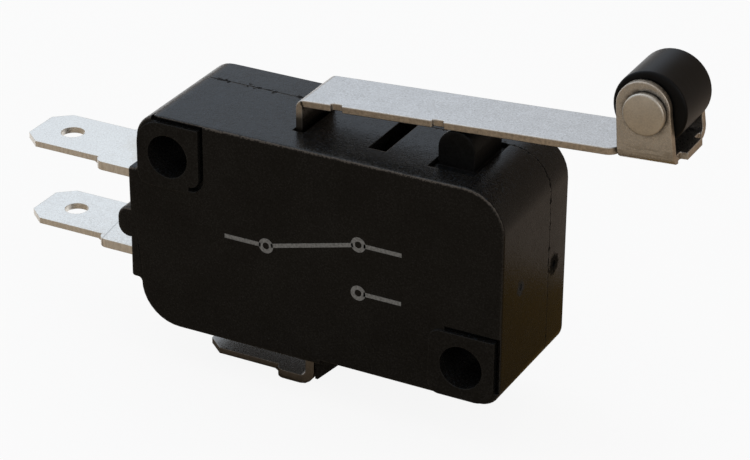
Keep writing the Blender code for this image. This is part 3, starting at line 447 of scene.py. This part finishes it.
def plastic_height(tree, place, grain, torn, chips):
    """The relief of black plastic: its grain, sunken chips and crumbs where it is torn."""
    sunken = calc(tree, "SUBTRACT", grain["Height"], product(tree, chips, CHIP_DEPTH))
    return total(tree, sunken, product(tree, noise(tree, place, *TORN_CRUMBS), torn, TORN_HEIGHT))


PLASTIC_FINENESS = 8.0
PLASTIC_TONES = (0.35, 0.7)
PLASTIC_RUB = (0.12 * MM, 1.6, 0.5)
PLASTIC_RUBBED = (0.3, (0.05, 0.047, 0.043))
RIM_SCUFF_AND_HIGHLIGHT = (0.9, (0.115, 0.101, 0.088))
SEAM_CRUMBS = (0.6, (0.075, 0.068, 0.060))
SEAM_CHIPPED = (0.95, (0.0012, 0.0011, 0.0010))
PLASTIC_TOP_LIGHT = (0.2, (0.066, 0.090, 0.124))
PLASTIC_DUST = (1.7, 0.055, 0.28)
PLASTIC_DUSTED = (0.35, (0.10, 0.098, 0.092))
PLASTIC_EDGE = 0.09 * MM
PLASTIC_DEPTH = 0.03 * MM


def black_plastic(name, dark, pale, rough, relief=0.7, specular=0.148):
    """Black moulded plastic with fine grain, rubbed edges, a chipped seam and a little dust, with painted
    light on faces that look up and on the upper rims.
    """
    material, tree, shader, place = new_finish(name)
    grain = use(tree, MOULDED_GRAIN, {"Place": place, "Fineness": PLASTIC_FINENESS})
    rim = use(tree, RIM_LINE, {"Place": place})["Mask"]
    seam = use(tree, SEAM_CHIPS, {"Place": place})
    colour = blend(tree, span(tree, grain["Tone"], *PLASTIC_TONES), dark, pale)
    colour = lay(tree, colour, rubbed_edges(tree, place, *PLASTIC_RUB), *PLASTIC_RUBBED)
    # Scuffs and a painted highlight along the rims, strongest on the upper ones
    colour = lay(tree, colour, rim, *RIM_SCUFF_AND_HIGHLIGHT)
    colour = lay(tree, colour, seam["Pale"], *SEAM_CRUMBS)
    colour = lay(tree, colour, seam["Dark"], *SEAM_CHIPPED)
    colour, torn = mould_marks(tree, place, colour)
    # Painted light: a speckled pale blue tint on faces that look up
    colour = lay(tree, colour, painted_top_light(tree, place), *PLASTIC_TOP_LIGHT)
    colour = lay(tree, colour, specks(tree, place, *PLASTIC_DUST), *PLASTIC_DUSTED)
    tree.links.new(colour, shader.inputs["Base Color"])
    roughness = plastic_roughness(tree, rough, grain, rim, torn, seam["Dark"])
    tree.links.new(roughness, shader.inputs["Roughness"])
    shader.inputs["Specular IOR Level"].default_value = specular
    height = plastic_height(tree, place, grain, torn, seam["Dark"])
    round_edges(tree, shader, height, PLASTIC_EDGE, relief, PLASTIC_DEPTH)
    return material


def round_axle(tree, place):
    """The point seen from the roller's axle, as how far it is from it and how far along it."""
    axle = Vector((AXLE_ALONG, 0, AXLE_ABOVE))
    axle.rotate(Euler((0, -LEVER_REST_ANGLE, 0)))
    axle += HINGE / MM
    parts = axes(tree, vector_calc(tree, "SUBTRACT", place, axle))
    squares = total(tree, calc(tree, "POWER", parts[0], 2), calc(tree, "POWER", parts[2], 2))
    return add(tree, "ShaderNodeCombineXYZ", {0: calc(tree, "SQRT", squares), 1: parts[1]}).outputs[0]


ROLLER_SCUFFS = (7.0, 4.0, 0.65)
ROLLER_SCUFF_BITE = (0.45, 0.75)
ROLLER_PATCHES = (0.9, 3.0, 0.6)
ROLLER_PATCH_BITE = (0.35, 0.7)
ROLLER_FINENESS = 16.0
ROLLER_DARK = (0.0035, 0.0035, 0.0037)
ROLLER_PALE = (0.012, 0.012, 0.013)
ROLLER_RUB = (0.12 * MM, 1.5, 0.45)
ROLLER_RUBBED = (0.5, (0.07, 0.07, 0.07))
ROLLER_DUST = (1.9, 0.06, 0.3)
ROLLER_DUSTED = (0.3, (0.11, 0.11, 0.11))
ROLLER_ROUGH = (0.0, 1.0, 0.34, 0.48)
ROLLER_SPECULAR = 0.13
ROLLER_HEIGHT_SHARES = (0.6, 0.4)
ROLLER_SURFACE = (0.05 * MM, 0.16, 0.02 * MM)


def roller_plastic(name):
    """Harder, smoother black plastic, with scuffs that run round the roller and turned ends."""
    material, tree, shader, place = new_finish(name)
    scuffs = noise(tree, round_axle(tree, place), *ROLLER_SCUFFS)
    patches = span(tree, noise(tree, place, *ROLLER_PATCHES), *ROLLER_PATCH_BITE)
    grain = use(tree, MOULDED_GRAIN, {"Place": place, "Fineness": ROLLER_FINENESS})
    scuffed = product(tree, span(tree, scuffs, *ROLLER_SCUFF_BITE), patches)
    colour = blend(tree, scuffed, ROLLER_DARK, ROLLER_PALE)
    colour = lay(tree, colour, rubbed_edges(tree, place, *ROLLER_RUB), *ROLLER_RUBBED)
    colour = lay(tree, colour, specks(tree, place, *ROLLER_DUST), *ROLLER_DUSTED)
    tree.links.new(colour, shader.inputs["Base Color"])
    tree.links.new(span(tree, scuffed, *ROLLER_ROUGH), shader.inputs["Roughness"])
    shader.inputs["Specular IOR Level"].default_value = ROLLER_SPECULAR
    height = weighted(tree, scuffs, grain["Height"], ROLLER_HEIGHT_SHARES)
    round_edges(tree, shader, height, *ROLLER_SURFACE)
    return material


def on_lever(tree, place):
    """The point in the lever's own lying frame: along it from the hinge, across it and above the hinge."""
    from_hinge = vector_calc(tree, "SUBTRACT", place, HINGE / MM)
    inputs = {"Vector": from_hinge, "Axis": (0, 1, 0), "Angle": LEVER_REST_ANGLE}
    return add(tree, "ShaderNodeVectorRotate", inputs, rotation_type="AXIS_ANGLE").outputs[0]


SIDE_TURN = (0.6, 0.85)
END_TURN = (0.45, 0.75)
EAR_FADE = (EAR_START - 0.1, EAR_START + 0.1)
CROWN_TURN = (0.2, 0.5)
CROWN_RISE = (AXLE_ABOVE, AXLE_ABOVE + 0.2)
COMMON_TAB_FADE = (COMMON_TAB_END + 0.1, COMMON_TAB_END - 0.1)


def sheared_sides(tree, faces):
    """Where the surface looks across the part."""
    return span(tree, calc(tree, "ABSOLUTE", faces[1]), *SIDE_TURN)


def sheared_ends(tree, faces):
    """Where the surface looks along the part."""
    return span(tree, calc(tree, "ABSOLUTE", faces[0]), *END_TURN)


def lever_edges(tree, place):
    """Marks the sheared sides of the folded strip: its long sides, and the outlines of the two ears."""
    at = axes(tree, on_lever(tree, place))
    faces = facing(tree)
    on_ears = span(tree, at[0], *EAR_FADE)
    crown = product(tree, span(tree, faces[2], *CROWN_TURN), span(tree, at[2], *CROWN_RISE))
    ears = calc(tree, "MAXIMUM", sheared_ends(tree, faces), crown)
    strip = product(tree, sheared_sides(tree, faces), calc(tree, "SUBTRACT", 1.0, on_ears))
    return calc(tree, "MAXIMUM", strip, product(tree, ears, on_ears))


def tab_edges(tree, place):
    """Marks the sheared sides and the tip of a tab, but not the plated faces of a bent one's leg."""
    faces = facing(tree)
    on_tab = span(tree, axes(tree, place)[0], *COMMON_TAB_FADE)
    tip = product(tree, sheared_ends(tree, faces), on_tab)
    return calc(tree, "MAXIMUM", sheared_sides(tree, faces), tip)


TORN_STRETCH = (1.0, 1.0, 0.2)
TORN_GRAIN = (6.0, 3.0, 0.6)
TORN_BITE = (0.35, 0.7)
TORN_SHADE = 0.84
CRUMBLED_GRAIN = (4.5, 4.0, 0.75)
CRUMBLED_BITE = (0.4, 0.66)
CRUMBLED_SHADE = 0.45


def sheared_colour(tree, place, torn, bare, crumble):
    """The bare metal of a sheared side, with torn and crumbled spots."""
    side = blend(tree, span(tree, torn, *TORN_BITE), bare, scaled(bare, TORN_SHADE))
    crumbs = span(tree, noise(tree, place, *CRUMBLED_GRAIN), *CRUMBLED_BITE)
    return lay(tree, side, crumbs, crumble, scaled(bare, CRUMBLED_SHADE))


PLATED_FINENESS = 8.0
PLATED_TONE_SHARES = (0.8, 0.2)
PLATED_TONES = (0.4, 0.64)
PLATED_PITS = (2.1, 0.11, 0.2)
PIT_TONE = (0.16, 0.15, 0.14)
PLATED_RUB_REACH = 0.1 * MM
PLATED_RUB = (2.5, 0.6)
PLATED_RUB_STRENGTH = 0.55
PLATED_CREVICE_SHADE = (0.85, (0.060, 0.050, 0.040))
PLATED_ROUGH_LESS = 0.05
PLATED_ROUGH_MORE = 0.08
SHEARED_MATT = 0.14
LINE_HEIGHT = 0.2
PIT_DEPTH = 0.5
TORN_SIDE_HEIGHT = 0.6
PLATED_EDGE = 0.07 * MM
PLATED_DEPTH = 0.02 * MM


def plated_metal(
    name, bright, stain, bare, rough, edge_mask, marks, rub_sheen, pits=0.65, crumble=0.55, relief=0.1
):
    """Plated strip: rolled grain, cloudy stains and pits on its faces, bare metal on its sheared sides, and
    painted shade in its inner corners.
    """
    material, tree, shader, place = new_finish(name)
    sheared = edge_mask(tree, place)
    grain = use(tree, PLATING, {"Place": place, "Fineness": PLATED_FINENESS})
    tone = weighted(tree, grain["Mottle"], grain["Clouds"], PLATED_TONE_SHARES)
    dots = specks(tree, place, *PLATED_PITS)
    torn = noise(tree, stretched(tree, place, TORN_STRETCH), *TORN_GRAIN)
    colour = blend(tree, span(tree, tone, *PLATED_TONES), bright, stain)
    colour = lay(tree, colour, dots, pits, PIT_TONE)
    colour = blend(tree, sheared, colour, sheared_colour(tree, place, torn, bare, crumble))
    # Rubbed edges: wear, and where their tone is raised above the plating's, a painted highlight
    worn = rubbed_edges(tree, place, PLATED_RUB_REACH * rub_sheen, *PLATED_RUB)
    colour = lay(tree, colour, worn, PLATED_RUB_STRENGTH * rub_sheen, scaled(bright, rub_sheen))
    colour = marks(tree, place, colour)
    # Painted shade in inner corners and narrow gaps, such as round the roller pin's head
    colour = lay(tree, colour, use(tree, CREVICE_SHADE, {"Place": place})["Mask"], *PLATED_CREVICE_SHADE)
    tree.links.new(colour, shader.inputs["Base Color"])
    swing = (rough - PLATED_ROUGH_LESS, rough + PLATED_ROUGH_MORE)
    roughness = span(tree, grain["Mottle"], *NOISE_SWING, *swing)
    tree.links.new(total(tree, roughness, product(tree, sheared, SHEARED_MATT)), shader.inputs["Roughness"])
    shader.inputs["Metallic"].default_value = 1.0
    height = total(tree, grain["Mottle"], product(tree, grain["Lines"], LINE_HEIGHT))
    height = calc(tree, "SUBTRACT", height, product(tree, dots, PIT_DEPTH))
    height = total(tree, height, product(tree, torn, sheared, TORN_SIDE_HEIGHT))
    round_edges(tree, shader, height, PLATED_EDGE, relief, PLATED_DEPTH)
    return material


LOWER_TAB = (0.0, -1.0)
PRESS_LINE_X = -18.5
PRESS_LINE_SKEW = 0.14
PRESS_LINE_WIDTH = (0.08, 0.02)
PRESS_CREASE_SHADE = (0.45, (0.30, 0.29, 0.27))
STAIN_ALONG = (-18.6, -16.8)
STAIN_CLOUDS = (0.42, 0.62)
STAINED = (0.3, (0.62, 0.52, 0.38))


def tab_marks(tree, place, colour):
    """A line of painted shade across the lower tab, where it is pressed thinner, and a tan stain on the
    upper one where it enters the case.
    """
    at = axes(tree, place)
    lower = span(tree, at[2], *LOWER_TAB)
    upper = calc(tree, "SUBTRACT", 1.0, lower)
    skew = product(tree, calc(tree, "SUBTRACT", at[1], MIDDLE_Y / MM), PRESS_LINE_SKEW)
    off = gap(tree, total(tree, at[0], skew), PRESS_LINE_X)
    # Painted shade along the press crease across the lower tab
    colour = lay(tree, colour, product(tree, span(tree, off, *PRESS_LINE_WIDTH), lower), *PRESS_CREASE_SHADE)
    clouds = use(tree, PLATING, {"Place": place, "Fineness": PLATED_FINENESS})["Clouds"]
    near_case = product(tree, span(tree, at[0], *STAIN_ALONG), upper)
    return lay(tree, colour, product(tree, near_case, span(tree, clouds, *STAIN_CLOUDS)), *STAINED)


FOLD_TOP = (LEVER_TOP + 1.0, LEVER_TOP + 0.35)
FOLD_FOOT = (LEVER_TOP - 0.1, LEVER_TOP + 0.35)
STREAK_STRETCH = (0.25, 1.0, 1.6)
STREAK_GRAIN = (3.4, 4.0, 0.65)
STREAK_BITE = (0.46, 0.62)
STREAKED = (0.45, (0.22, 0.19, 0.15))


def fold_streaks(tree, own, at, colour):
    """Darker streaks along the fold at the foot of the ears."""
    streaks = span(tree, noise(tree, stretched(tree, own, STREAK_STRETCH), *STREAK_GRAIN), *STREAK_BITE)
    on_fold = product(tree, span(tree, at[2], *FOLD_TOP), span(tree, at[2], *FOLD_FOOT))
    return lay(tree, colour, product(tree, streaks, on_fold, span(tree, at[0], *EAR_FADE)), *STREAKED)


HOOK_WANDER = (3.0, 4.0, 0.7)
HOOK_WANDER_MIDDLE = 0.5
HOOK_WANDER_REACH = 0.5
CRACK_ALONG = 0.32
CRACK_LEAN = 0.35
CRACK_WIDTH = (0.11, 0.04)
CRACKED = (0.9, (0.012, 0.010, 0.008))
HOOK_INNER_TURN = (0.5, 0.8)
HOOK_END = (0.7, 0.5)
HOOK_SHADE_TOP = (2.6, 1.95)
HOOK_SHADED = (0.88, (0.045, 0.039, 0.033))


def lever_marks(tree, place, colour):
    """Darker streaks along the fold at the foot of the ears, and a torn hook with painted shade on its lower
    sides and inner face.
    """
    own = on_lever(tree, place)
    at = axes(tree, own)
    faces = facing(tree)
    colour = fold_streaks(tree, own, at, colour)
    wander = calc(tree, "SUBTRACT", noise(tree, own, *HOOK_WANDER), HOOK_WANDER_MIDDLE)
    wander = product(tree, wander, HOOK_WANDER_REACH)
    lean = product(tree, calc(tree, "SUBTRACT", at[2], LEVER_TOP), CRACK_LEAN)
    off = gap(tree, total(tree, at[0], wander, lean), CRACK_ALONG)
    sides = sheared_sides(tree, faces)
    colour = lay(tree, colour, product(tree, span(tree, off, *CRACK_WIDTH), sides), *CRACKED)
    # Painted shade on the lower part of the hook's sides and on its inner face, under the lever
    inner = span(tree, faces[0], *HOOK_INNER_TURN)
    on_hook = product(tree, span(tree, at[0], *HOOK_END), calc(tree, "MAXIMUM", sides, inner))
    shade = product(tree, on_hook, span(tree, total(tree, at[2], wander), *HOOK_SHADE_TOP))
    return lay(tree, colour, shade, *HOOK_SHADED)


TURNED_FINENESS = 9.0
TURNED_TONE_SHARES = (0.6, 0.4)
TURNED_TONES = (0.36, 0.66)
TURNED_PITS = (3.0, 0.1, 0.3)
TURNED_PIT_STRENGTH = 0.4
TURNED_PIT_SHADE = 0.4
TURNED_CREVICE_SHADE = (0.95, (0.040, 0.033, 0.026))
TURNED_RUB = (0.08 * MM, 2.0, 0.6)
TURNED_RUB_STRENGTH = 0.6
TURNED_RUB_SHEEN = 1.25
TURNED_ROUGH_LESS = 0.06
TURNED_ROUGH_MORE = 0.08
TURNED_SURFACE = (0.06 * MM, 0.18, 0.02 * MM)


def turned_metal(name, bright, dark, rough):
    """Plain metal of the small round and hidden pieces, with cloudy tone, pits and painted shade in its
    inner corners.
    """
    material, tree, shader, place = new_finish(name)
    grain = use(tree, PLATING, {"Place": place, "Fineness": TURNED_FINENESS})
    tone = weighted(tree, grain["Mottle"], grain["Clouds"], TURNED_TONE_SHARES)
    colour = blend(tree, span(tree, tone, *TURNED_TONES), bright, dark)
    dots = specks(tree, place, *TURNED_PITS)
    colour = lay(tree, colour, dots, TURNED_PIT_STRENGTH, scaled(dark, TURNED_PIT_SHADE))
    # Painted shade in inner corners and narrow gaps, such as under the pin's head
    colour = lay(tree, colour, use(tree, CREVICE_SHADE, {"Place": place})["Mask"], *TURNED_CREVICE_SHADE)
    # Rubbed edges: wear, and a painted highlight, as their tone is brighter than the metal
    worn = rubbed_edges(tree, place, *TURNED_RUB)
    colour = lay(tree, colour, worn, TURNED_RUB_STRENGTH, scaled(bright, TURNED_RUB_SHEEN))
    tree.links.new(colour, shader.inputs["Base Color"])
    swing = (rough - TURNED_ROUGH_LESS, rough + TURNED_ROUGH_MORE)
    tree.links.new(span(tree, grain["Mottle"], *NOISE_SWING, *swing), shader.inputs["Roughness"])
    shader.inputs["Metallic"].default_value = 1.0
    round_edges(tree, shader, grain["Mottle"], *TURNED_SURFACE)
    return material


INK_COVER = (6.0, 4.0, 0.7)
INK_BITE = (0.3, 0.62)
INK_DARK = (0.13, 0.13, 0.128)
INK_PALE = (0.27, 0.27, 0.265)
INK_ROUGH = (0.55, 0.7)
INK_SPECULAR = 0.2


def printed_ink(name):
    """Thin grey pad print, worn through in small spots."""
    material, tree, shader, place = new_finish(name)
    cover = noise(tree, place, *INK_COVER)
    colour = blend(tree, span(tree, cover, *INK_BITE), INK_DARK, INK_PALE)
    tree.links.new(colour, shader.inputs["Base Color"])
    tree.links.new(span(tree, cover, *NOISE_SWING, *INK_ROUGH), shader.inputs["Roughness"])
    shader.inputs["Specular IOR Level"].default_value = INK_SPECULAR
    return material


# Pieces

# Edges sharper than this stay crisp, and flatter ones are shaded as one round surface
CRISP_ANGLE = math.radians(30)
JOIN_DISTANCE = 1e-6
FLAT_FACE_WEIGHT = 100
TERMINALS = ("nc_terminal", "no_terminal", "common_terminal")
TERMINAL_EDGE_ROUND = 0.09 * MM
TERMINAL_EDGE_STEPS = 2


def round_terminal(node):
    """Rounds the edges of a terminal, which are too fine for its solid."""
    bevel = node.modifiers.new("edges", "BEVEL")
    bevel.width = TERMINAL_EDGE_ROUND
    bevel.segments = TERMINAL_EDGE_STEPS
    bevel.limit_method = "ANGLE"
    bevel.angle_limit = CRISP_ANGLE
    bevel.harden_normals = True


def dress_node(name, material):
    """Gives a solid its finish, and shades its round faces as one smooth surface."""
    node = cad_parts[name]
    mesh = node.data
    for layer in ("custom_normal", "sharp_edge"):
        if layer in mesh.attributes:
            mesh.attributes.remove(mesh.attributes[layer])
    mesh.shade_smooth()
    mesh.materials.clear()
    mesh.materials.append(material)
    weld = node.modifiers.new("join", "WELD")
    weld.merge_threshold = JOIN_DISTANCE
    if name in TERMINALS:
        round_terminal(node)
    crisp = node.modifiers.new("crisp", "EDGE_SPLIT")
    crisp.split_angle = CRISP_ANGLE
    even = node.modifiers.new("even", "WEIGHTED_NORMAL")
    even.mode = "FACE_AREA"
    even.weight = FLAT_FACE_WEIGHT


def new_object(name, shape, material):
    """An object of the scene, made from a shape that is used up."""
    mesh = bpy.data.meshes.new(name)
    shape.to_mesh(mesh)
    shape.free()
    mesh.materials.append(material)
    made = bpy.data.objects.new(name, mesh)
    bpy.context.scene.collection.objects.link(made)
    return made


def new_piece(name, shape, material, body):
    """A piece that isn't among the solids, and rides on one of the part's bodies."""
    piece = new_object(name, shape, material)
    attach(piece, body)
    return piece


# Printed contact symbol on the front face
INK_LIFT = 0.012 * MM
INK_ROOT = 0.05 * MM
INK_LINE = 0.3 * MM
INK_RING = 0.55 * MM
RING_STEPS = 40
COMMON_POINT = Vector((-3.6, 0.2)) * MM
CLOSED_POINT = Vector((3.4, 2.0)) * MM
OPEN_POINT = Vector((3.4, -1.6)) * MM
INK_LEAD = Vector((3.2, 0)) * MM


def raise_ink(shape, loop):
    """Turns a closed outline in X and Z into a thin raised patch on the front face."""
    low = [shape.verts.new((x, FRONT_FACE_Y + INK_ROOT, z)) for x, z in loop]
    high = [shape.verts.new((x, FRONT_FACE_Y - INK_LIFT, z)) for x, z in loop]
    shape.faces.new(low)
    shape.faces.new(high[::-1])
    for index in range(len(loop)):
        shape.faces.new((low[index - 1], high[index - 1], high[index], low[index]))


def ink_line(shape, start, end):
    """A straight line between two points."""
    run = (end - start).normalized()
    across = Vector((-run.y, run.x)) * (INK_LINE / 2)
    raise_ink(shape, [start - across, end - across, end + across, start + across])


def ink_ring(shape, centre):
    """A ring made of short straight patches."""
    inner = INK_RING - INK_LINE
    for step in range(RING_STEPS):
        turns = [2 * math.pi * (step + more) / RING_STEPS for more in (0, 1)]
        loop = [Vector((math.cos(turn), math.sin(turn))) * INK_RING for turn in turns]
        loop += [Vector((math.cos(turn), math.sin(turn))) * inner for turn in reversed(turns)]
        raise_ink(shape, [centre + point for point in loop])


def make_contact_symbol():
    """The usual sign for a changeover contact: one common point, one closed and one open point."""
    edge = Vector((INK_RING - INK_LINE / 2, 0))
    shape = bmesh.new()
    for centre in (COMMON_POINT, CLOSED_POINT, OPEN_POINT):
        ink_ring(shape, centre)
    ink_line(shape, COMMON_POINT - INK_LEAD, COMMON_POINT - edge)
    ink_line(shape, CLOSED_POINT + edge, CLOSED_POINT + INK_LEAD)
    ink_line(shape, OPEN_POINT + edge, OPEN_POINT + INK_LEAD)
    blade = (CLOSED_POINT - COMMON_POINT).normalized()
    ink_line(shape, COMMON_POINT + blade * edge.x, CLOSED_POINT - blade * edge.x)
    bmesh.ops.recalc_face_normals(shape, faces=shape.faces)
    return new_piece("contact_symbol", shape, printed_ink("grey_print"), "case")


def plastic_finishes():
    """The finishes of the black pieces, by node."""
    return {
        "housing": black_plastic(
            "case_black", dark=(0.0050, 0.0048, 0.0045), pale=(0.0145, 0.0138, 0.0128), rough=0.18
        ),
        "rear_cover": black_plastic(
            "cover_black", dark=(0.0055, 0.0052, 0.0048), pale=(0.0160, 0.0150, 0.0138), rough=0.18
        ),
        "plunger": black_plastic(
            "button_black",
            dark=(0.0020, 0.0020, 0.0020),
            pale=(0.0075, 0.0075, 0.0075),
            rough=0.42,
            relief=0.3,
            specular=0.1,
        ),
        "roller": roller_plastic("roller_black"),
    }


def strip_finishes():
    """The finishes of the pieces that are stamped from plated strip, by node."""
    nickel = plated_metal(
        "lever_nickel",
        bright=(0.648, 0.624, 0.597),
        stain=(0.51, 0.49, 0.465),
        bare=(0.61, 0.525, 0.425),
        rough=0.3,
        edge_mask=lever_edges,
        marks=lever_marks,
        rub_sheen=1.3,
    )
    tin = plated_metal(
        "tab_tin",
        bright=(0.83, 0.795, 0.735),
        stain=(0.74, 0.705, 0.655),
        bare=(0.99, 0.945, 0.875),
        rough=0.3,
        edge_mask=tab_edges,
        marks=tab_marks,
        rub_sheen=0.95,
        pits=0.25,
        crumble=0.12,
    )
    # A darker copy of the tab tin: painted shade for the common terminal, which sits low under the case
    shaded_tin = plated_metal(
        "common_tin_shaded",
        bright=(0.37, 0.35, 0.325),
        stain=(0.32, 0.302, 0.278),
        bare=(0.27, 0.24, 0.208),
        rough=0.22,
        edge_mask=tab_edges,
        marks=tab_marks,
        rub_sheen=0.95,
        pits=0.3,
        crumble=0.4,
        relief=0.03,
    )
    return {"lever": nickel, "nc_terminal": tin, "no_terminal": tin, "common_terminal": shaded_tin}


def plain_finishes():
    """The finishes of the small round and hidden pieces, by node."""
    rivet = turned_metal("rivet_nickel", bright=(0.69, 0.645, 0.575), dark=(0.53, 0.49, 0.43), rough=0.34)
    silver = turned_metal("contact_silver", bright=(0.78, 0.77, 0.74), dark=(0.66, 0.65, 0.62), rough=0.25)
    bronze = turned_metal("blade_bronze", bright=(0.58, 0.38, 0.21), dark=(0.46, 0.29, 0.15), rough=0.32)
    steel = turned_metal("arm_steel", bright=(0.54, 0.54, 0.52), dark=(0.42, 0.42, 0.40), rough=0.38)
    return {
        "roller_pin": rivet,
        "nc_contact": silver,
        "no_contact": silver,
        "moving_contact": silver,
        "contact_blade": bronze,
        "actuating_arm": steel,
        "snap_spring": steel,
    }


def dress_part():
    """Gives every solid its finish."""
    for finishes in (plastic_finishes(), strip_finishes(), plain_finishes()):
        for name, material in finishes.items():
            dress_node(name, material)


# Studio

# Camera, as fitted to the photograph
PICTURE_WIDTH = 750
FOCAL_PIXELS = 2744.7
SENSOR = 36.0
NEAREST = 1 * MM
CAMERA_PLACE = Vector((78.18, -151.47, 85.36)) * MM
CAMERA_TURN = (62.777, -0.341, 27.669)


def make_camera():
    """The camera of the photograph."""
    data = bpy.data.cameras.new("camera")
    data.sensor_width = SENSOR
    data.lens = FOCAL_PIXELS * SENSOR / PICTURE_WIDTH
    data.clip_start = NEAREST
    camera = bpy.data.objects.new("camera", data)
    camera.location = CAMERA_PLACE
    camera.rotation_euler = [math.radians(turn) for turn in CAMERA_TURN]
    bpy.context.scene.collection.objects.link(camera)
    bpy.context.scene.camera = camera


# From here on, scales and places are in metres
PAPER_GRAIN = 40.0
PAPER_DARK = (0.93, 0.93, 0.93)
PAPER_PALE = (0.96, 0.96, 0.96)
PAPER_BOUNCE = (0.42, 0.36, 0.29)
PAPER_GLOW = 0.9


def floor_finish():
    """Pale floor: white to the eye and in reflections, with a soft shadow, and it throws warm light up."""
    material = bpy.data.materials.new("pale_floor")
    material.use_nodes = True
    tree = material.node_tree
    tree.nodes.clear()
    place = add(tree, "ShaderNodeTexCoord").outputs["Object"]
    path = add(tree, "ShaderNodeLightPath").outputs
    tone = blend(tree, noise(tree, place, PAPER_GRAIN), PAPER_DARK, PAPER_PALE)
    tone = blend(tree, path["Is Diffuse Ray"], tone, PAPER_BOUNCE)
    paper = add(tree, "ShaderNodeBsdfDiffuse", {"Color": tone}).outputs[0]
    glow = add(tree, "ShaderNodeEmission", {"Color": with_alpha(WHITE)}).outputs[0]
    seen = total(tree, path["Is Camera Ray"], path["Is Glossy Ray"])
    seen = calc(tree, "ADD", seen, path["Is Transmission Ray"], clamp=True)
    share = product(tree, seen, PAPER_GLOW)
    top = add(tree, "ShaderNodeMixShader", {0: share, 1: paper, 2: glow}).outputs[0]
    behind = add(tree, "ShaderNodeNewGeometry").outputs["Backfacing"]
    clear = add(tree, "ShaderNodeBsdfTransparent").outputs[0]
    both = add(tree, "ShaderNodeMixShader", {0: behind, 1: top, 2: clear}).outputs[0]
    add(tree, "ShaderNodeOutputMaterial", {0: both})
    return material


CARD_FADE = (0.0135, 0.0155)
CARD_CLOUDS = (30.0, 3.0)
CARD_CLOUD_SHADE = (0.0, 0.2)
CARD_ROUGH = 0.9


def card_finish(name, near, far):
    """Warm card that the part mirrors, with one tone near it and another beyond a stretch of Y."""
    material = bpy.data.materials.new(name)
    material.use_nodes = True
    tree = material.node_tree
    shader = tree.nodes["Principled BSDF"]
    place = add(tree, "ShaderNodeTexCoord").outputs["Object"]
    tone = blend(tree, span(tree, axes(tree, place)[1], *CARD_FADE), near, far)
    cloudy = span(tree, noise(tree, place, *CARD_CLOUDS), *NOISE_SWING, *CARD_CLOUD_SHADE)
    tree.links.new(blend(tree, cloudy, tone, BLACK), shader.inputs["Base Color"])
    shader.inputs["Roughness"].default_value = CARD_ROUGH
    return material


def flat_board(name, low, high, level, material):
    """A flat board of the studio, which isn't part of the object."""
    shape = bmesh.new()
    corners = [(low[0], low[1]), (high[0], low[1]), (high[0], high[1]), (low[0], high[1])]
    shape.faces.new([shape.verts.new((x, y, level)) for x, y in corners])
    board = new_object(name, shape, material)
    return board


FLOOR_DROP = 0.02 * MM
FLOOR_HALF = 1.5
BROWN = (0.48, 0.375, 0.255)
TAN_NEAR = (0.28, 0.158, 0.02)
TAN_FAR = (0.57, 0.455, 0.355)
FRONT_CARD_CORNERS = ((-0.25, -0.3), (0.25, -0.004))
SIDE_CARD_CORNERS = ((0.012, -0.004), (1.4, 1.4))


def make_stage():
    """The floor, and two cards on it that show only in reflections."""
    lowest = cad_box[0].z - FLOOR_DROP
    flat_board("floor", (-FLOOR_HALF, -FLOOR_HALF), (FLOOR_HALF, FLOOR_HALF), lowest, floor_finish())
    brown = card_finish("brown_card", BROWN, BROWN)
    tan = card_finish("tan_card", TAN_NEAR, TAN_FAR)
    cards = [
        flat_board("front_card", *FRONT_CARD_CORNERS, lowest + FLOOR_DROP / 2, brown),
        flat_board("side_card", *SIDE_CARD_CORNERS, lowest + FLOOR_DROP / 2, tan),
    ]
    for card in cards:
        card.visible_camera = False
        card.visible_shadow = False
        card.visible_diffuse = False


WINDOW_SIDE = Vector((-0.85, 0.45, 0.27))
WINDOW_EDGE = (0.5, 0.95)
WINDOW_SILL = (0.05, 0.38)
WINDOW_LIGHT = (0.97, 1.105, 1.28)
REAR_WALL = (0.33, 0.27, 0.215)
FRONT_WALL = (0.56, 0.55, 0.54)
WALL_TURN = (0.1, -0.5)
CEILING = (0.42, 0.42, 0.43)
CEILING_RISE = (0.55, 0.9)


def light_room():
    """A plain room round the part, with a pale blue window on one side. The camera sees it white."""
    world = bpy.data.worlds.new("studio")
    world.use_nodes = True
    tree = world.node_tree
    direction = add(tree, "ShaderNodeTexCoord").outputs["Generated"]
    towards = vector_calc(tree, "DOT_PRODUCT", direction, WINDOW_SIDE, "Value")
    parts = axes(tree, direction)
    window = product(tree, span(tree, towards, *WINDOW_EDGE), span(tree, parts[2], *WINDOW_SILL))
    walls = blend(tree, span(tree, parts[1], *WALL_TURN), REAR_WALL, FRONT_WALL)
    walls = blend(tree, span(tree, parts[2], *CEILING_RISE), walls, CEILING)
    room = blend(tree, window, walls, WINDOW_LIGHT)
    seen = add(tree, "ShaderNodeLightPath").outputs["Is Camera Ray"]
    tree.links.new(blend(tree, seen, room, WHITE), tree.nodes["Background"].inputs["Color"])
    bpy.context.scene.world = world


# Lamps: name, place, size, power and colour
LAMPS = (
    ("sky", (-0.10, 0.03, 0.36), (0.52, 0.46), 0.25, (0.95, 0.98, 1.0)),
    ("side", (0.30, -0.10, 0.16), (0.14, 0.2), 0.08, (1.0, 0.96, 0.9)),
)
LAMP_AIM = Vector((0.0, MIDDLE_Y, 0.0))


def make_lamps():
    """Large soft lamps that look at the part."""
    for name, place, size, power, colour in LAMPS:
        data = bpy.data.lights.new(name, "AREA")
        data.shape = "RECTANGLE"
        data.size, data.size_y = size
        data.energy = power
        data.color = colour
        lamp = bpy.data.objects.new(name, data)
        lamp.location = place
        lamp.rotation_euler = (LAMP_AIM - Vector(place)).to_track_quat("-Z", "Y").to_euler()
        bpy.context.scene.collection.objects.link(lamp)


make_camera()
dress_part()
make_contact_symbol()
make_stage()
light_room()
make_lamps()
bpy.context.scene.view_settings.view_transform = "Standard"
